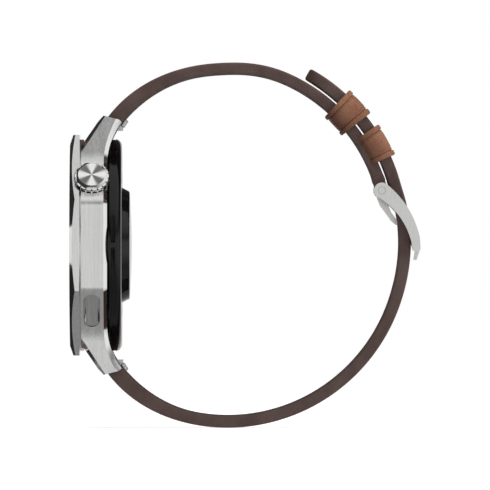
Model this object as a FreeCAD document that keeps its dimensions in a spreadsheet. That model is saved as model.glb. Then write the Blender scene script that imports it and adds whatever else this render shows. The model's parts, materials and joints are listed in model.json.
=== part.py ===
# Smartwatch with an octagonal steel case and a buckled two-piece leather strap.
# Frame: the origin is the middle of the loop that the strap makes round a wrist. X is the case axis,
# with the display facing -X. Z points to 12 o'clock. The crown and the button are on the -Y side.
import FreeCAD, Part
import math
import os
import re
import Sketcher

doc = FreeCAD.newDocument("smartwatch")
dims = doc.addObject("Spreadsheet::Sheet", "dims")
V = FreeCAD.Vector

# ---- driving dimensions, mm and degrees ----
driving = {
    "bezel_flats": 46.34,       # case width across opposite bezel flats
    "bezel_front": -33.1,       # stations along the case axis, from the display to the wrist
    "bezel_back": -30.9,
    "case_front": -30.65,
    "case_back": -25.2,
    "cover_back": -22.2,
    "dome_back": -20.1,
    "glass_radius": 19.4,
    "display_radius": 18.5,
    "cavity_radius": 19.9,      # bore of the mid case
    "flange_radius": 17.0,      # bore of its rear flange
    "case_half_width": 22.75,
    "case_half_flat": 9.5,
    "cover_radius": 22.35,
    "dome_radius": 12.15,
    "strap_width": 21.8,        # between the lugs
    "strap_tail_width": 19.6,
    "lug_gap": 22.0,
    "loop_radius": 37.1,        # middle of the strap's thickness
    "strap_thick": 2.6,
    "control_turn": 36.0,       # crown and button, from -Y towards 12 and 6 o'clock
    "control_station": -28.4,   # where their axes stand along the case axis
    "crown_radius": 3.675,
    "crown_base": 22.4,         # distances from the case axis
    "crown_face": 25.2,
    "button_long": 8.8,
    "button_wide": 3.2,
    "button_face": 23.2,
    "shaft_radius": 1.0,
    "press_travel": 0.4,
    "running_gap": 0.05,
    "bar_station": -25.0,       # spring bars
    "bar_height": 24.4,
    "bar_radius": 0.9,
    "pin_radius": 0.4,
    "buckle_x": 32.4,           # buckle bar
    "buckle_z": 11.5,
    "buckle_pin_radius": 0.75,
    "overlap_x": -2.1,          # middle of the arc that both strap ends follow where they overlap
    "overlap_z": 2.3,
    "inner_layer": 35.75,       # radii of the two layers about it
    "outer_layer": 38.7,
}
for row, (alias, number) in enumerate(driving.items(), 1):
    dims.set(f"A{row}", alias)
    dims.set(f"B{row}", str(number))
    dims.setAlias(f"B{row}", alias)
doc.recompute()
words = re.compile(r"\b(" + "|".join(driving) + r")\b")


def bound(expression):
    return words.sub(r"dims.\1", str(expression))


def value(expression):
    return float(dims.evalExpression(str(expression)))


# ---- building blocks ----
def new_body(label):
    body = doc.addObject("PartDesign::Body", label)
    body.Label = label
    return body


def origin_feature(body, role):
    return next(f for f in body.Origin.OriginFeatures if f.Role == role)


def new_sketch(body, role, offset=0):
    sketch = body.newObject("Sketcher::SketchObject", body.Name + "_sketch")
    sketch.AttachmentSupport = (origin_feature(body, role), [""])
    sketch.MapMode = "FlatFace"
    sketch.setExpression(".AttachmentOffset.Base.z", bound(offset))
    return sketch


def arc_between(start, end, radius):
    # the short arc from start to end; a positive radius has its middle on the left
    chord = end - start
    half = chord.Length / 2
    side = V(-chord.y, chord.x, 0).normalize()
    reach = math.sqrt(radius * radius - half * half)
    middle = start + chord * 0.5 + side * math.copysign(reach, radius)
    turns = [math.atan2(p.y - middle.y, p.x - middle.x) for p in (start, end)]
    if radius < 0:
        turns.reverse()
    circle = Part.Circle(middle, V(0, 0, 1), abs(radius))
    return Part.ArcOfCircle(circle, turns[0], turns[1])


def fix_point(sketch, item, vertex, x, y):
    for kind, amount in (("DistanceX", x), ("DistanceY", y)):
        index = sketch.addConstraint(Sketcher.Constraint(kind, -1, 1, item, vertex, value(amount)))
        sketch.setExpression(f"Constraints[{index}]", bound(amount))


def add_loop(sketch, corners):
    # a closed outline; a corner's third value is the radius of the side that follows it
    places = [V(value(c[0]), value(c[1]), 0) for c in corners]
    first = sketch.GeometryCount
    ends = []
    for index, corner in enumerate(corners):
        start = places[index]
        end = places[(index + 1) % len(corners)]
        if len(corner) == 2:
            sketch.addGeometry(Part.LineSegment(start, end), False)
            ends.append((1, 2))
        else:
            radius = value(corner[2])
            sketch.addGeometry(arc_between(start, end, radius), False)
            ends.append((1, 2) if radius > 0 else (2, 1))
    for index, corner in enumerate(corners):
        before = (index - 1) % len(corners)
        sketch.addConstraint(Sketcher.Constraint("Coincident", first + before, ends[before][1],
                                                 first + index, ends[index][0]))
        fix_point(sketch, first + index, ends[index][0], corner[0], corner[1])
        if len(corner) == 3:
            radius = f"abs({corner[2]})"
            rule = sketch.addConstraint(Sketcher.Constraint("Radius", first + index, value(radius)))
            sketch.setExpression(f"Constraints[{rule}]", bound(radius))


def add_circle(sketch, x, y, radius):
    item = sketch.addGeometry(Part.Circle(V(value(x), value(y), 0), V(0, 0, 1), value(radius)), False)
    fix_point(sketch, item, 3, x, y)
    rule = sketch.addConstraint(Sketcher.Constraint("Radius", item, value(radius)))
    sketch.setExpression(f"Constraints[{rule}]", bound(radius))


def pad(body, role, offset, length, draw, symmetric=False):
    sketch = new_sketch(body, role, offset)
    draw(sketch)
    feature = body.newObject("PartDesign::Pad", body.Name + "_pad")
    feature.Profile = sketch
    feature.setExpression("Length", bound(length))
    if symmetric:
        feature.SideType = "Symmetric"
    return feature


def pocket(body, role, offset, length, draw, reverse=False, symmetric=False):
    sketch = new_sketch(body, role, offset)
    draw(sketch)
    feature = body.newObject("PartDesign::Pocket", body.Name + "_pocket")
    feature.Profile = sketch
    feature.setExpression("Length", bound(length))
    feature.Reversed = reverse
    if symmetric:
        feature.SideType = "Symmetric"
    return feature


def turn(body, corners, kind="Revolution"):
    # a profile of (station along X, radius) turned about the X axis
    sketch = new_sketch(body, "XY_Plane")
    add_loop(sketch, corners)
    feature = body.newObject("PartDesign::" + kind, body.Name + "_" + kind.lower())
    feature.Profile = sketch
    feature.ReferenceAxis = (sketch, ["H_Axis"])
    feature.Angle = 360
    return feature


def turned(label, corners):
    body = new_body(label)
    turn(body, corners)
    return body


def tube(label, start, end, outer, inner=0):
    return turned(label, [(start, inner), (end, inner), (end, outer), (start, outer)])


def block(label, x, y, z):
    # a plain box between two stations along each axis, each a pair of expressions
    box = doc.addObject("Part::Box", label)
    box.Label = label
    for side, span, place in (("Length", x, "x"), ("Width", y, "y"), ("Height", z, "z")):
        box.setExpression(side, bound(f"({span[1]}) - ({span[0]})"))
        box.setExpression(".Placement.Base." + place, bound(span[0]))
    return box


def cut(label, base, tools):
    whole = doc.addObject("Part::Cut", label)
    whole.Label = label
    whole.Base = base
    if len(tools) == 1:
        whole.Tool = tools[0]
    else:
        joined = doc.addObject("Part::MultiFuse", label + "_tools")
        joined.Shapes = tools
        whole.Tool = joined
    return whole


def plain_solid(label, shape):
    feature = doc.addObject("Part::Feature", label)
    feature.Label = label
    feature.Shape = shape
    return feature


def polygon(radius, count, turn_by):
    return [(f"({radius}) * cos({turn_by + 360 / count * k})", f"({radius}) * sin({turn_by + 360 / count * k})")
            for k in range(count)]


def slot_corners(long, wide):
    # a pill along the sketch's first direction
    reach = f"(({long}) - ({wide})) / 2"
    half = f"({wide}) / 2"
    return [(f"-({reach})", f"-({half})"), (reach, f"-({half})", half), (f"({reach}) + ({half})", 0, half),
            (reach, half), (f"-({reach})", half, half), (f"-({reach}) - ({half})", 0, half)]


def mirrored(quadrant):
    # the quadrant's corners, then their images in the other three quadrants
    flip_y = [(f"-({y})", z) for y, z in reversed(quadrant)]
    both = quadrant + flip_y
    return both + [(f"-({y})", f"-({z})") for y, z in both]


def control_placement(side):
    # local X points outwards along the crown's axis (side 1) or the button's (side -1)
    turn_by = math.radians(value("control_turn")) * side
    outward = V(0, -math.cos(turn_by), math.sin(turn_by))
    along = V(0, math.sin(turn_by), math.cos(turn_by))
    rotation = FreeCAD.Rotation(outward, along, outward.cross(along), "XYZ")
    return FreeCAD.Placement(V(value("control_station"), 0, 0), rotation)


nodes = []


def keep(item, placement=None):
    if placement is not None:
        item.Placement = placement
    nodes.append(item)
    return item


crown_place = control_placement(1)
button_place = control_placement(-1)

# ---- bezel: a steel octagon with a nut-like chamfer turned on its front ----
bezel_body = new_body("bezel_body")
octagon_corner = "bezel_flats / 2 / cos(22.5)"
pad(bezel_body, "YZ_Plane", "bezel_front", "bezel_back - bezel_front",
    lambda sketch: add_loop(sketch, polygon(octagon_corner, 8, 22.5)))
turn(bezel_body, [("bezel_back - 0.2", "cavity_radius + 0.5"), ("bezel_back + 1.0", "cavity_radius + 0.5"),
                  ("bezel_back + 1.0", "glass_radius - 0.4"), ("bezel_back - 0.2", "glass_radius - 0.4")])
turn(bezel_body, [("bezel_front - 1", "bezel_flats / 2 - 1.55"), ("bezel_front", "bezel_flats / 2 - 1.55"),
                  ("bezel_front + 1.4", "bezel_flats / 2 + 2.6"), ("bezel_front - 1", "bezel_flats / 2 + 2.6")],
     "Groove")
turn(bezel_body, [("bezel_back - 0.25", "bezel_flats / 2 + 3"), ("bezel_back + 0.3", "bezel_flats / 2 + 3"),
                  ("bezel_back + 0.3", "bezel_flats / 2 - 0.6"), ("bezel_back", "bezel_flats / 2 - 0.6")],
     "Groove")
turn(bezel_body, [("bezel_front - 1", 0), ("bezel_back + 2", 0), ("bezel_back + 2", "display_radius + 0.1"),
                  ("bezel_front + 1.95", "display_radius + 0.1"), ("bezel_front + 1.95", "glass_radius + 0.03"),
                  ("bezel_front + 0.3", "glass_radius + 0.03"), ("bezel_front", "glass_radius + 0.45"),
                  ("bezel_front - 1", "glass_radius + 0.45")], "Groove")


def crown_recess(label):
    # room for the crown's flange, sunk into the bezel and the mid case
    body = tube(label, "crown_base - press_travel - 0.15", "crown_face + 3", "crown_radius + 0.18")
    body.Placement = crown_place
    return body


keep(cut("bezel_ring", bezel_body, [crown_recess("bezel_recess")]))

# ---- front glass, its gasket and the display behind it ----
keep(turned("front_glass", [("bezel_front + 1.75", 0), ("bezel_front + 1.75", "glass_radius"),
                            ("bezel_front + 0.35", "glass_radius"), ("bezel_front + 0.05", "glass_radius - 0.35"),
                            ("bezel_front + 0.05", 0)]))
keep(tube("glass_gasket", "bezel_front + 1.75", "bezel_front + 1.95", "glass_radius - 0.05",
          "display_radius + 0.15"))
keep(tube("display_panel", "bezel_front + 1.75", "bezel_front + 2.75", "display_radius"))
keep(block("display_flex", ("bezel_front + 2.8", "bezel_front + 3.0"), (-4, 4), (-14, 6)))

# ---- mid case: octagonal middle with four lugs ----
mid_body = new_body("mid_body")
front_outline = mirrored([("case_half_width", "case_half_flat"), (15.3, 17.0), (13.7, 28.5),
                          ("lug_gap / 2", 28.5), ("lug_gap / 2", 21.6)])
pad(mid_body, "YZ_Plane", "case_front", "8.5", lambda sketch: add_loop(sketch, front_outline))
doc.recompute()


def edges_along_x(shape, places, reach=0.05):
    found = []
    for number, edge in enumerate(shape.Edges, 1):
        ends = [vertex.Point for vertex in edge.Vertexes]
        if len(ends) != 2 or abs(ends[0].y - ends[1].y) > 1e-6 or abs(ends[0].z - ends[1].z) > 1e-6:
            continue
        if any(abs(abs(ends[0].y) - y) < reach and abs(abs(ends[0].z) - z) < reach for y, z in places):
            found.append(f"Edge{number}")
    return found


def round_edges(body, edges, radius):
    solid = body.Tip
    feature = body.newObject("PartDesign::Fillet", body.Name + "_round")
    feature.Base = (solid, edges)
    feature.setExpression("Radius", bound(radius))
    body.Tip = feature
    doc.recompute()
    return feature


half_width = value("case_half_width")
half_flat = value("case_half_flat")
round_edges(mid_body, edges_along_x(mid_body.Shape, [(half_width, half_flat)]), "2.4")
round_edges(mid_body, edges_along_x(mid_body.Shape, [(15.3, 17.0)]), "9")

# seen from the side: sloping dial edge, lug tip, wrist edge that runs smoothly into the flat back
wrist_curve = "((-22.2 - case_back)^2 + 8.75^2) / (2 * (-22.2 - case_back))"
side_outline = [("case_front", "bar_height - 2.3"), ("bar_station - 1.0", 27.2), (-23.15, 26.45, -1.2),
                (-22.2, 25.75, wrist_curve), ("case_back", 17.0), ("case_back", -17.0, wrist_curve),
                (-22.2, -25.75, -1.2), (-23.15, -26.45), ("bar_station - 1.0", -27.2),
                ("case_front", "-(bar_height - 2.3)")]


def outside_of_side(sketch):
    add_loop(sketch, [(-34, -32), (-18, -32), (-18, 32), (-34, 32)])
    add_loop(sketch, side_outline)


pocket(mid_body, "XZ_Plane", 0, "60", outside_of_side, symmetric=True)
doc.recompute()


def edges_between(shape, first_test, second_test):
    chosen = []
    first = [face for face in shape.Faces if first_test(face)]
    second = [face for face in shape.Faces if second_test(face)]
    for number, edge in enumerate(shape.Edges, 1):
        in_first = any(edge.isSame(other) for face in first for other in face.Edges)
        in_second = any(edge.isSame(other) for face in second for other in face.Edges)
        if in_first and in_second:
            chosen.append(f"Edge{number}")
    return chosen


def middle_normal(face):
    u0, u1, v0, v1 = face.ParameterRange
    return face.normalAt((u0 + u1) / 2, (v0 + v1) / 2)


def faces_wrist(face):
    return middle_normal(face).x > 0.4 and abs(face.CenterOfMass.z) < 25


def faces_out(face):
    normal = middle_normal(face)
    middle = face.CenterOfMass
    outwards = normal.y * middle.y + normal.z * middle.z > 0
    return abs(normal.x) < 0.05 and outwards and abs(normal.y) > 0.3


def bevel(body, edges, size):
    solid = body.Tip
    feature = body.newObject("PartDesign::Chamfer", body.Name + "_bevel")
    feature.Base = (solid, edges)
    feature.setExpression("Size", bound(size))
    body.Tip = feature
    doc.recompute()
    return feature


bevel(mid_body, edges_between(mid_body.Shape, faces_wrist, faces_out), "0.75")
turn(mid_body, [("bezel_back", "cavity_radius + 1"), ("case_front + 0.5", "cavity_radius + 1"),
                ("case_front + 0.5", "case_half_width - 0.5"), ("bezel_back", "case_half_width - 0.5")])
turn(mid_body, [("bezel_back - 1", 0), ("cover_back + 2", 0), ("cover_back + 2", "cover_radius + 0.1"),
                ("case_back", "cover_radius + 0.1"), ("case_back", "flange_radius"),
                ("case_back - 1.0", "flange_radius"), ("case_back - 1.0", "cavity_radius"),
                ("bezel_back + 1.0", "cavity_radius"), ("bezel_back + 1.0", "cavity_radius + 0.5"),
                ("bezel_back - 1", "cavity_radius + 0.5")], "Groove")


def screw_places(sketch, radius):
    for k in range(4):
        add_circle(sketch, f"19.6 * cos({45 + 90 * k})", f"19.6 * sin({45 + 90 * k})", radius)


bosses = pad(mid_body, "YZ_Plane", "case_back - 3.0", "2.4", lambda sketch: screw_places(sketch, "1.3"))
pocket(mid_body, "YZ_Plane", "case_back - 2.6", "2.6", lambda sketch: screw_places(sketch, "0.6"),
       reverse=True)
doc.recompute()

button_pocket = new_body("button_pocket")
pad(button_pocket, "YZ_Plane", "button_face - 2.2", "5",
    lambda sketch: add_loop(sketch, slot_corners("button_long + 0.3", "button_wide + 0.3")))
button_pocket.Placement = button_place
button_hole = tube("button_hole", 17, 22, "0.7 + running_gap")
button_hole.Placement = button_place
crown_hole = tube("crown_hole", 17, 23, "1.4")
crown_hole.Placement = crown_place
bar_hole = doc.addObject("Part::Cylinder", "bar_hole")
bar_hole.setExpression("Radius", bound("pin_radius + running_gap"))
bar_hole.setExpression("Height", bound("lug_gap + 2.6"))
bar_hole.Placement = FreeCAD.Placement(V(value("bar_station"), -value("lug_gap / 2 + 1.3"), value("bar_height")),
                                       FreeCAD.Rotation(V(1, 0, 0), -90))
lower_bar_hole = doc.addObject("Part::Cylinder", "lower_bar_hole")
lower_bar_hole.setExpression("Radius", bound("pin_radius + running_gap"))
lower_bar_hole.setExpression("Height", bound("lug_gap + 2.6"))
lower_bar_hole.Placement = FreeCAD.Placement(
    V(value("bar_station"), -value("lug_gap / 2 + 1.3"), -value("bar_height")), FreeCAD.Rotation(V(1, 0, 0), -90))


def lug_bevel(y_side, z_side):
    # the wide polished facet on the dial edge of a lug
    low = V(-29.5, y_side * 14.6, z_side * 21.2)
    high = V(-25.55, y_side * 14.1, z_side * 27.1)
    inner = V(value("bar_station - 1.4"), y_side * 11.6, z_side * 26.8)
    normal = (high - low).cross(inner - low).normalize()
    if normal.x > 0:
        normal = normal * -1
    rotation = FreeCAD.Rotation(V(0, 0, 1), normal)
    box = doc.addObject("Part::Box", "lug_bevel")
    box.Length = 24
    box.Width = 24
    box.Height = 6
    box.Placement = FreeCAD.Placement(low - rotation.multVec(V(12, 12, 0)), rotation)
    return box


lug_bevels = [lug_bevel(y_side, z_side) for y_side in (-1, 1) for z_side in (-1, 1)]
mid_tools = [crown_recess("mid_recess"), button_pocket, button_hole, crown_hole, bar_hole, lower_bar_hole]
keep(cut("mid_case", mid_body, mid_tools + lug_bevels))

# ---- back cover with its vents, the sensor window and the charging parts ----
cover_body = turned("cover_body", [
    ("case_back", "flange_radius - 0.1"), ("case_back", "cover_radius - 0.5"),
    ("case_back + 0.5", "cover_radius"), ("case_back + 0.75", "cover_radius"),
    ("case_back + 0.75", "cover_radius - 0.15"), ("case_back + 1.75", "cover_radius - 0.15"),
    ("case_back + 1.75", "cover_radius", -1.5), ("cover_back", "cover_radius - 1.6"),
    ("cover_back", "dome_radius + 0.05"), ("cover_back - 1.0", "dome_radius + 0.05"),
    ("cover_back - 1.0", "flange_radius - 0.1")])
pocket(cover_body, "YZ_Plane", "cover_back - 0.6", "1.5", lambda sketch: screw_places(sketch, "1.2"), reverse=True)
pocket(cover_body, "YZ_Plane", "case_back - 0.5", "5", lambda sketch: screw_places(sketch, "0.65"), reverse=True)
gasket_groove = turn(cover_body, [("case_back - 0.5", 17.4), ("case_back + 0.4", 17.4),
                                  ("case_back + 0.4", 18.1), ("case_back - 0.5", 18.1)], "Groove")
vent_slots = [block("vent_slot", ("case_back + 0.8", "case_back + 1.7"), (-24, -16), span)
              for span in ((0.5, 6.2), (-6.2, -0.5))]
keep(cut("back_cover", cover_body, vent_slots))
keep(tube("back_gasket", "case_back", "case_back + 0.4", 18.05, 17.45))
for name, span in (("speaker_mesh", (0.5, 6.2)), ("microphone_mesh", (-6.2, -0.5))):
    keep(block(name, ("case_back + 0.8", "case_back + 1.7"), (-20.7, -20.5), span))
keep(turned("sensor_window", [
    ("cover_back - 1.4", "dome_radius + 0.75"), ("cover_back - 1.0", "dome_radius + 0.75"),
    ("cover_back - 1.0", "dome_radius"), ("cover_back", "dome_radius"),
    ("dome_back - 0.75", "dome_radius - 0.7", -0.5),
    ("dome_back - 0.45", "dome_radius - 1.3", "-((dome_radius - 1.3)^2 + 0.45^2) / 0.9"),
    ("dome_back", 0), ("dome_back - 0.9", 0), ("dome_back - 1.15", 10.2), ("cover_back", 10.9),
    ("cover_back - 1.4", 10.9)]))
keep(tube("sensor_board", "cover_back - 1.3", "cover_back - 0.8", 10.8))
baffle = turned("baffle_body", [("cover_back - 0.75", 9.6), ("dome_back - 1.3", 9.6),
                                ("dome_back - 1.3", 9.0), ("cover_back - 0.75", 9.0)])
pad(baffle, "YZ_Plane", "cover_back - 0.75", "dome_back - cover_back - 0.6",
    lambda sketch: (add_circle(sketch, 0, 0, 4.6), add_circle(sketch, 0, 0, 4.0)))
for k in range(4):
    pad(baffle, "YZ_Plane", "cover_back - 0.75", "dome_back - cover_back - 0.6",
        lambda sketch: add_loop(sketch, [
            (f"4.3 * cos({90 * k}) + 0.3 * sin({90 * k})", f"4.3 * sin({90 * k}) - 0.3 * cos({90 * k})"),
            (f"9.3 * cos({90 * k}) + 0.3 * sin({90 * k})", f"9.3 * sin({90 * k}) - 0.3 * cos({90 * k})"),
            (f"9.3 * cos({90 * k}) - 0.3 * sin({90 * k})", f"9.3 * sin({90 * k}) + 0.3 * cos({90 * k})"),
            (f"4.3 * cos({90 * k}) - 0.3 * sin({90 * k})", f"4.3 * sin({90 * k}) + 0.3 * cos({90 * k})")]))
baffle.Label = "light_baffle"
keep(baffle)


def blocks_on_board(label, count, radius, half, turn_by):
    # small square components in a ring on the sensor board, each a solid of its own
    group = []
    for k in range(count):
        angle = math.radians(turn_by + 360 / count * k)
        group.append(Part.makeBox(0.5, 2 * half, 2 * half,
                                  V(value("cover_back - 0.8"), radius * math.cos(angle) - half,
                                    radius * math.sin(angle) - half)))
    return plain_solid(label, Part.makeCompound(group))


keep(blocks_on_board("photodiodes", 4, 6.8, 1.2, 45))
keep(blocks_on_board("sensor_leds", 1, 0.0, 1.3, 0))
keep(tube("charging_coil", "cover_back - 1.55", "cover_back - 1.05", 16.6, 13.2))
keep(tube("ferrite_sheet", "cover_back - 1.85", "cover_back - 1.6", 16.7, 13.1))

# ---- four screws that hold the back cover ----
screws = []
for k in range(4):
    angle = math.radians(45 + 90 * k)
    place = V(value("cover_back - 0.05"), 19.6 * math.cos(angle), 19.6 * math.sin(angle))
    head = Part.makeCylinder(1.1, 0.55, place, V(-1, 0, 0))
    shank = Part.makeCylinder(0.6, 5.3, place, V(-1, 0, 0))
    drive = Part.makeBox(0.3, 1.5, 0.3, place - V(0.3, 0.75, 0.15))
    cross = Part.makeBox(0.3, 0.3, 1.5, place - V(0.3, 0.15, 0.75))
    screws.append(head.fuse(shank).cut(drive).cut(cross))
keep(plain_solid("back_screws", Part.makeCompound(screws)))

# ---- electronics between the display and the back ----
frame_body = tube("frame_body", "bezel_back + 1.05", "bezel_back + 1.55", 19.5)
frame_windows = [block("frame_window", ("bezel_back", "bezel_back + 2"), span, (-8, 8))
                 for span in ((-8, -2), (3, 13))]


def control_notch(label, placement):
    # room round the inner end of the crown's or the button's shaft
    notch = doc.addObject("Part::Box", label)
    notch.Length = 8
    notch.Width = 6.8
    notch.Height = 4.4
    notch.Placement = placement.multiply(FreeCAD.Placement(V(13.5, -3.4, -2.2), FreeCAD.Rotation()))
    return notch


frame_notches = [control_notch("frame_notch", place) for place in (crown_place, button_place)]
keep(cut("inner_frame", frame_body, frame_windows + frame_notches))


board_body = tube("board_body", -28.7, -27.9, 18.0)
board_notches = [control_notch("board_notch", place) for place in (crown_place, button_place)]
keep(cut("main_board", board_body, board_notches))
keep(block("board_shield", (-29.3, -28.7), (-6, 8), (-6, 7)))
keep(block("battery", (-27.8, -24.5), (-9.3, 12.3), (-11.3, 11.3)))
keep(block("haptic_motor", (-27.8, -24.9), (12.9, 16.1), (-4.6, 4.6)))
keep(block("speaker_module", (-27.8, -24.9), (-16.1, -10.0), (0.3, 4.8)))
keep(block("microphone", (-27.8, -26.6), (-15.5, -12.5), (-3.5, -0.7)))
antenna_body = tube("antenna_body", -29.3, -28.3, 19.4, 18.6)
antenna_side = block("antenna_side", (-30, -27), (-20, 3), (-20, 20))
keep(cut("antenna_ring", antenna_body, [antenna_side]))

# ---- crown: fluted cap on a shaft that turns and presses in a tube ----
keep(tube("crown_tube", 18.4, "crown_base - press_travel - 0.15", 1.4, "shaft_radius + running_gap"), crown_place)
cap = new_body("crown_cap")
turn(cap, [("crown_base", 0), ("crown_base", "crown_radius - 0.75"),
           ("crown_base + 0.75", "crown_radius - 0.05"), ("crown_base + 0.85", "crown_radius"),
           ("crown_face - 0.62", "crown_radius"), ("crown_face - 0.5", "crown_radius - 0.12"),
           ("crown_face - 0.5", 0)])
pad(cap, "YZ_Plane", "crown_face - 0.6", "0.6", lambda sketch: add_loop(sketch, polygon(3.46, 8, 22.5)))
turn(cap, [("crown_face - 0.4", 3.55), ("crown_face + 0.5", 3.55), ("crown_face + 0.5", 2.86),
           ("crown_face", 2.86)], "Groove")
turn(cap, [("crown_base - 1", 0), ("crown_base + 1.2", 0), ("crown_base + 1.2", "shaft_radius"),
           ("crown_base - 1", "shaft_radius")], "Groove")
flute = pocket(cap, "YZ_Plane", "crown_face - 0.5", "1.25", lambda sketch: add_loop(sketch, [
    ("crown_radius - 0.3", "0.15"), ("crown_radius - 0.3", "-0.15"),
    ("crown_radius + 0.3", "-0.15"), ("crown_radius + 0.3", "0.15")]))
doc.recompute()
flutes = cap.newObject("PartDesign::PolarPattern", "crown_flutes")
flutes.Originals = [flute]
flutes.Axis = (origin_feature(cap, "X_Axis"), [""])
flutes.Angle = 360
flutes.Occurrences = 18
cap.Tip = flutes
keep(cap, crown_place)
keep(turned("crown_shaft", [
    (17.7, 0), (17.7, 0.6), (18.4, 0.6), (18.4, "shaft_radius"), (19.2, "shaft_radius"), (19.2, 0.65),
    (19.7, 0.65), (19.7, "shaft_radius"), (20.5, "shaft_radius"), (20.5, 0.65), (21.0, 0.65),
    (21.0, "shaft_radius"), ("crown_base + 1.2", "shaft_radius"), ("crown_base + 1.2", 0)]), crown_place)
seal_body = new_body("crown_seals")
for start in (19.22, 20.52):
    turn(seal_body, [(start, 0.65), (start + 0.46, 0.65), (start + 0.46, "shaft_radius + 0.03"),
                     (start, "shaft_radius + 0.03")])
keep(tube("crown_clip", 18.1, 18.35, 1.6, 0.6), crown_place)
keep(tube("crown_plunger", 17.15, 17.65, 0.9), crown_place)


def in_control(label, place, x, y, z):
    box = doc.addObject("Part::Box", label)
    box.Label = label
    box.Length = x[1] - x[0]
    box.Width = y[1] - y[0]
    box.Height = z[1] - z[0]
    box.Placement = place.multiply(FreeCAD.Placement(V(x[0], y[0], z[0]), FreeCAD.Rotation()))
    return keep(box)


in_control("crown_switch", crown_place, (15.2, 16.7), (-2.2, 2.2), (-0.8, 0.8))
in_control("crown_sensor", crown_place, (16.9, 17.9), (1.85, 2.7), (-0.6, 0.6))

# ---- button: a pill-shaped cap on a sealed stem ----
button_cap = new_body("button_cap")
pad(button_cap, "YZ_Plane", "button_face - 1.7", "1.7",
    lambda sketch: add_loop(sketch, slot_corners("button_long", "button_wide")))
doc.recompute()
face_rim = edges_between(button_cap.Shape, lambda face: middle_normal(face).x > 0.9 and face.CenterOfMass.x > 23,
                         lambda face: abs(middle_normal(face).x) < 0.1)
bevel(button_cap, face_rim, "0.35")
turn(button_cap, [("button_face - 2", 0), ("button_face - 0.8", 0), ("button_face - 0.8", 0.7),
                  ("button_face - 2", 0.7)], "Groove")
keep(button_cap, button_place)
keep(turned("button_stem", [
    (17.7, 0), (17.7, 0.7), (19.45, 0.7), (19.45, 0.45), (19.7, 0.45), (19.7, 0.7), (20.2, 0.7),
    (20.2, 0.45), (20.7, 0.45), (20.7, 0.7), ("button_face - 0.8", 0.7), ("button_face - 0.8", 0)]),
     button_place)
keep(tube("button_seal", 20.22, 20.68, 0.73, 0.45), button_place)
keep(tube("button_clip", 19.47, 19.68, 1.5, 0.45), button_place)
in_control("button_switch", button_place, (15.6, 17.25), (-2.2, 2.2), (-0.8, 0.8))


# ---- strap: two curved halves, each of an outer leather and a lining ----
def smooth(start, end, amount):
    share = min(1.0, max(0.0, (amount - start) / (end - start)))
    return share * share * (3 - 2 * share)


def overlap_radius(layer, angle):
    # distance from the loop's middle to a circle about the overlap's own middle
    turn_by = math.radians(angle)
    offset = V(value("overlap_x"), value("overlap_z"), 0)
    along = offset.x * math.cos(turn_by) + offset.y * math.sin(turn_by)
    across = offset.x * math.sin(turn_by) - offset.y * math.cos(turn_by)
    return along + math.sqrt(value(layer) ** 2 - across * across)


def lug_drop(angle):
    # the strap bends in to the spring bar near the lugs, 135.7 degrees round the loop
    share = max(0.0, (angle - 100) / 35.7)
    return 2.17 * share * share


def upper_middle(angle):
    share = smooth(66, 94, angle)
    radius = (1 - share) * overlap_radius("inner_layer", min(angle, 94)) + share * value("loop_radius")
    return radius - lug_drop(angle)


def lower_middle(angle):
    # angles here grow from the lower lug at -135.7 to the tip of the tail at 65
    share = smooth(14, 24, angle)
    lifted = value("loop_radius") + 0.25 * smooth(-20, 12, angle)
    radius = (1 - share) * lifted + share * overlap_radius("outer_layer", max(angle, 12))
    return radius - lug_drop(-angle)


def half_thickness(angle, layer_half):
    return layer_half + 0.35 * smooth(100, 130, abs(angle))


def place_at(angle, radius):
    turn_by = math.radians(angle)
    return V(radius * math.cos(turn_by), 0, radius * math.sin(turn_by))


def curve_through(points):
    curve = Part.BSplineCurve()
    curve.interpolate(points)
    return curve.toShape()


def ribbon(middle, angles, low, high, cap_start=None, cap_end=None):
    # a curved sheet between two offsets from the strap's middle line, 60 mm wide for trimming
    inner = [place_at(a, middle(a) + low(a)) for a in angles]
    outer = [place_at(a, middle(a) + high(a)) for a in angles]
    edges = [curve_through(inner)]
    edges.append(round_end(inner[-1], outer[-1], cap_end))
    edges.append(curve_through(outer[::-1]))
    edges.append(round_end(outer[0], inner[0], cap_start))
    wire = Part.Wire(Part.__sortEdges__(edges))
    face = Part.Face(wire)
    return face.extrude(V(0, 60, 0)).translated(V(0, -30, 0))


def round_end(start, end, through):
    if through is None:
        return Part.LineSegment(start, end).toShape()
    return Part.Arc(start, through, end).toShape()


def spread(start, end, count):
    return [start + (end - start) * k / (count - 1) for k in range(count)]


def taper_prism():
    # plan of the strap on the XY plane: full width at the lugs, narrower from the sides of the wrist on
    wide = value("strap_width / 2")
    narrow = value("strap_tail_width / 2")
    points = [V(-32, -wide, -60), V(-18, -wide, -60), V(8, -narrow, -60), V(50, -narrow, -60)]
    points += [V(p.x, -p.y, -60) for p in reversed(points)]
    wire = Part.makePolygon(points + points[:1])
    return Part.Face(wire).extrude(V(0, 0, 120))


def bar_cylinder(x, z, radius, half_length):
    return Part.makeCylinder(radius, 2 * half_length, V(x, -half_length, z), V(0, 1, 0))


bar_x = value("bar_station")
bar_z = value("bar_height")
buckle_x = value("buckle_x")
buckle_z = value("buckle_z")
overlap_middle = V(value("overlap_x"), 0, value("overlap_z"))
end_radius = 1.65
buckle_loop_radius = 1.6
split = 0.05                     # the lining is a little thicker than the leather
trim = taper_prism()
lug_angle = math.degrees(math.atan2(bar_z, bar_x))
buckle_angle = math.degrees(math.atan2(buckle_z, buckle_x))
inner_half = 1.25
outer_half = value("strap_thick / 2")



def full_strap(middle, start, end, layer_half, start_cap, end_cap):
    def low(angle):
        return -half_thickness(angle, layer_half)

    def high(angle):
        return half_thickness(angle, layer_half)
    return ribbon(middle, spread(start, end, 61), low, high, start_cap, end_cap)


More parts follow.
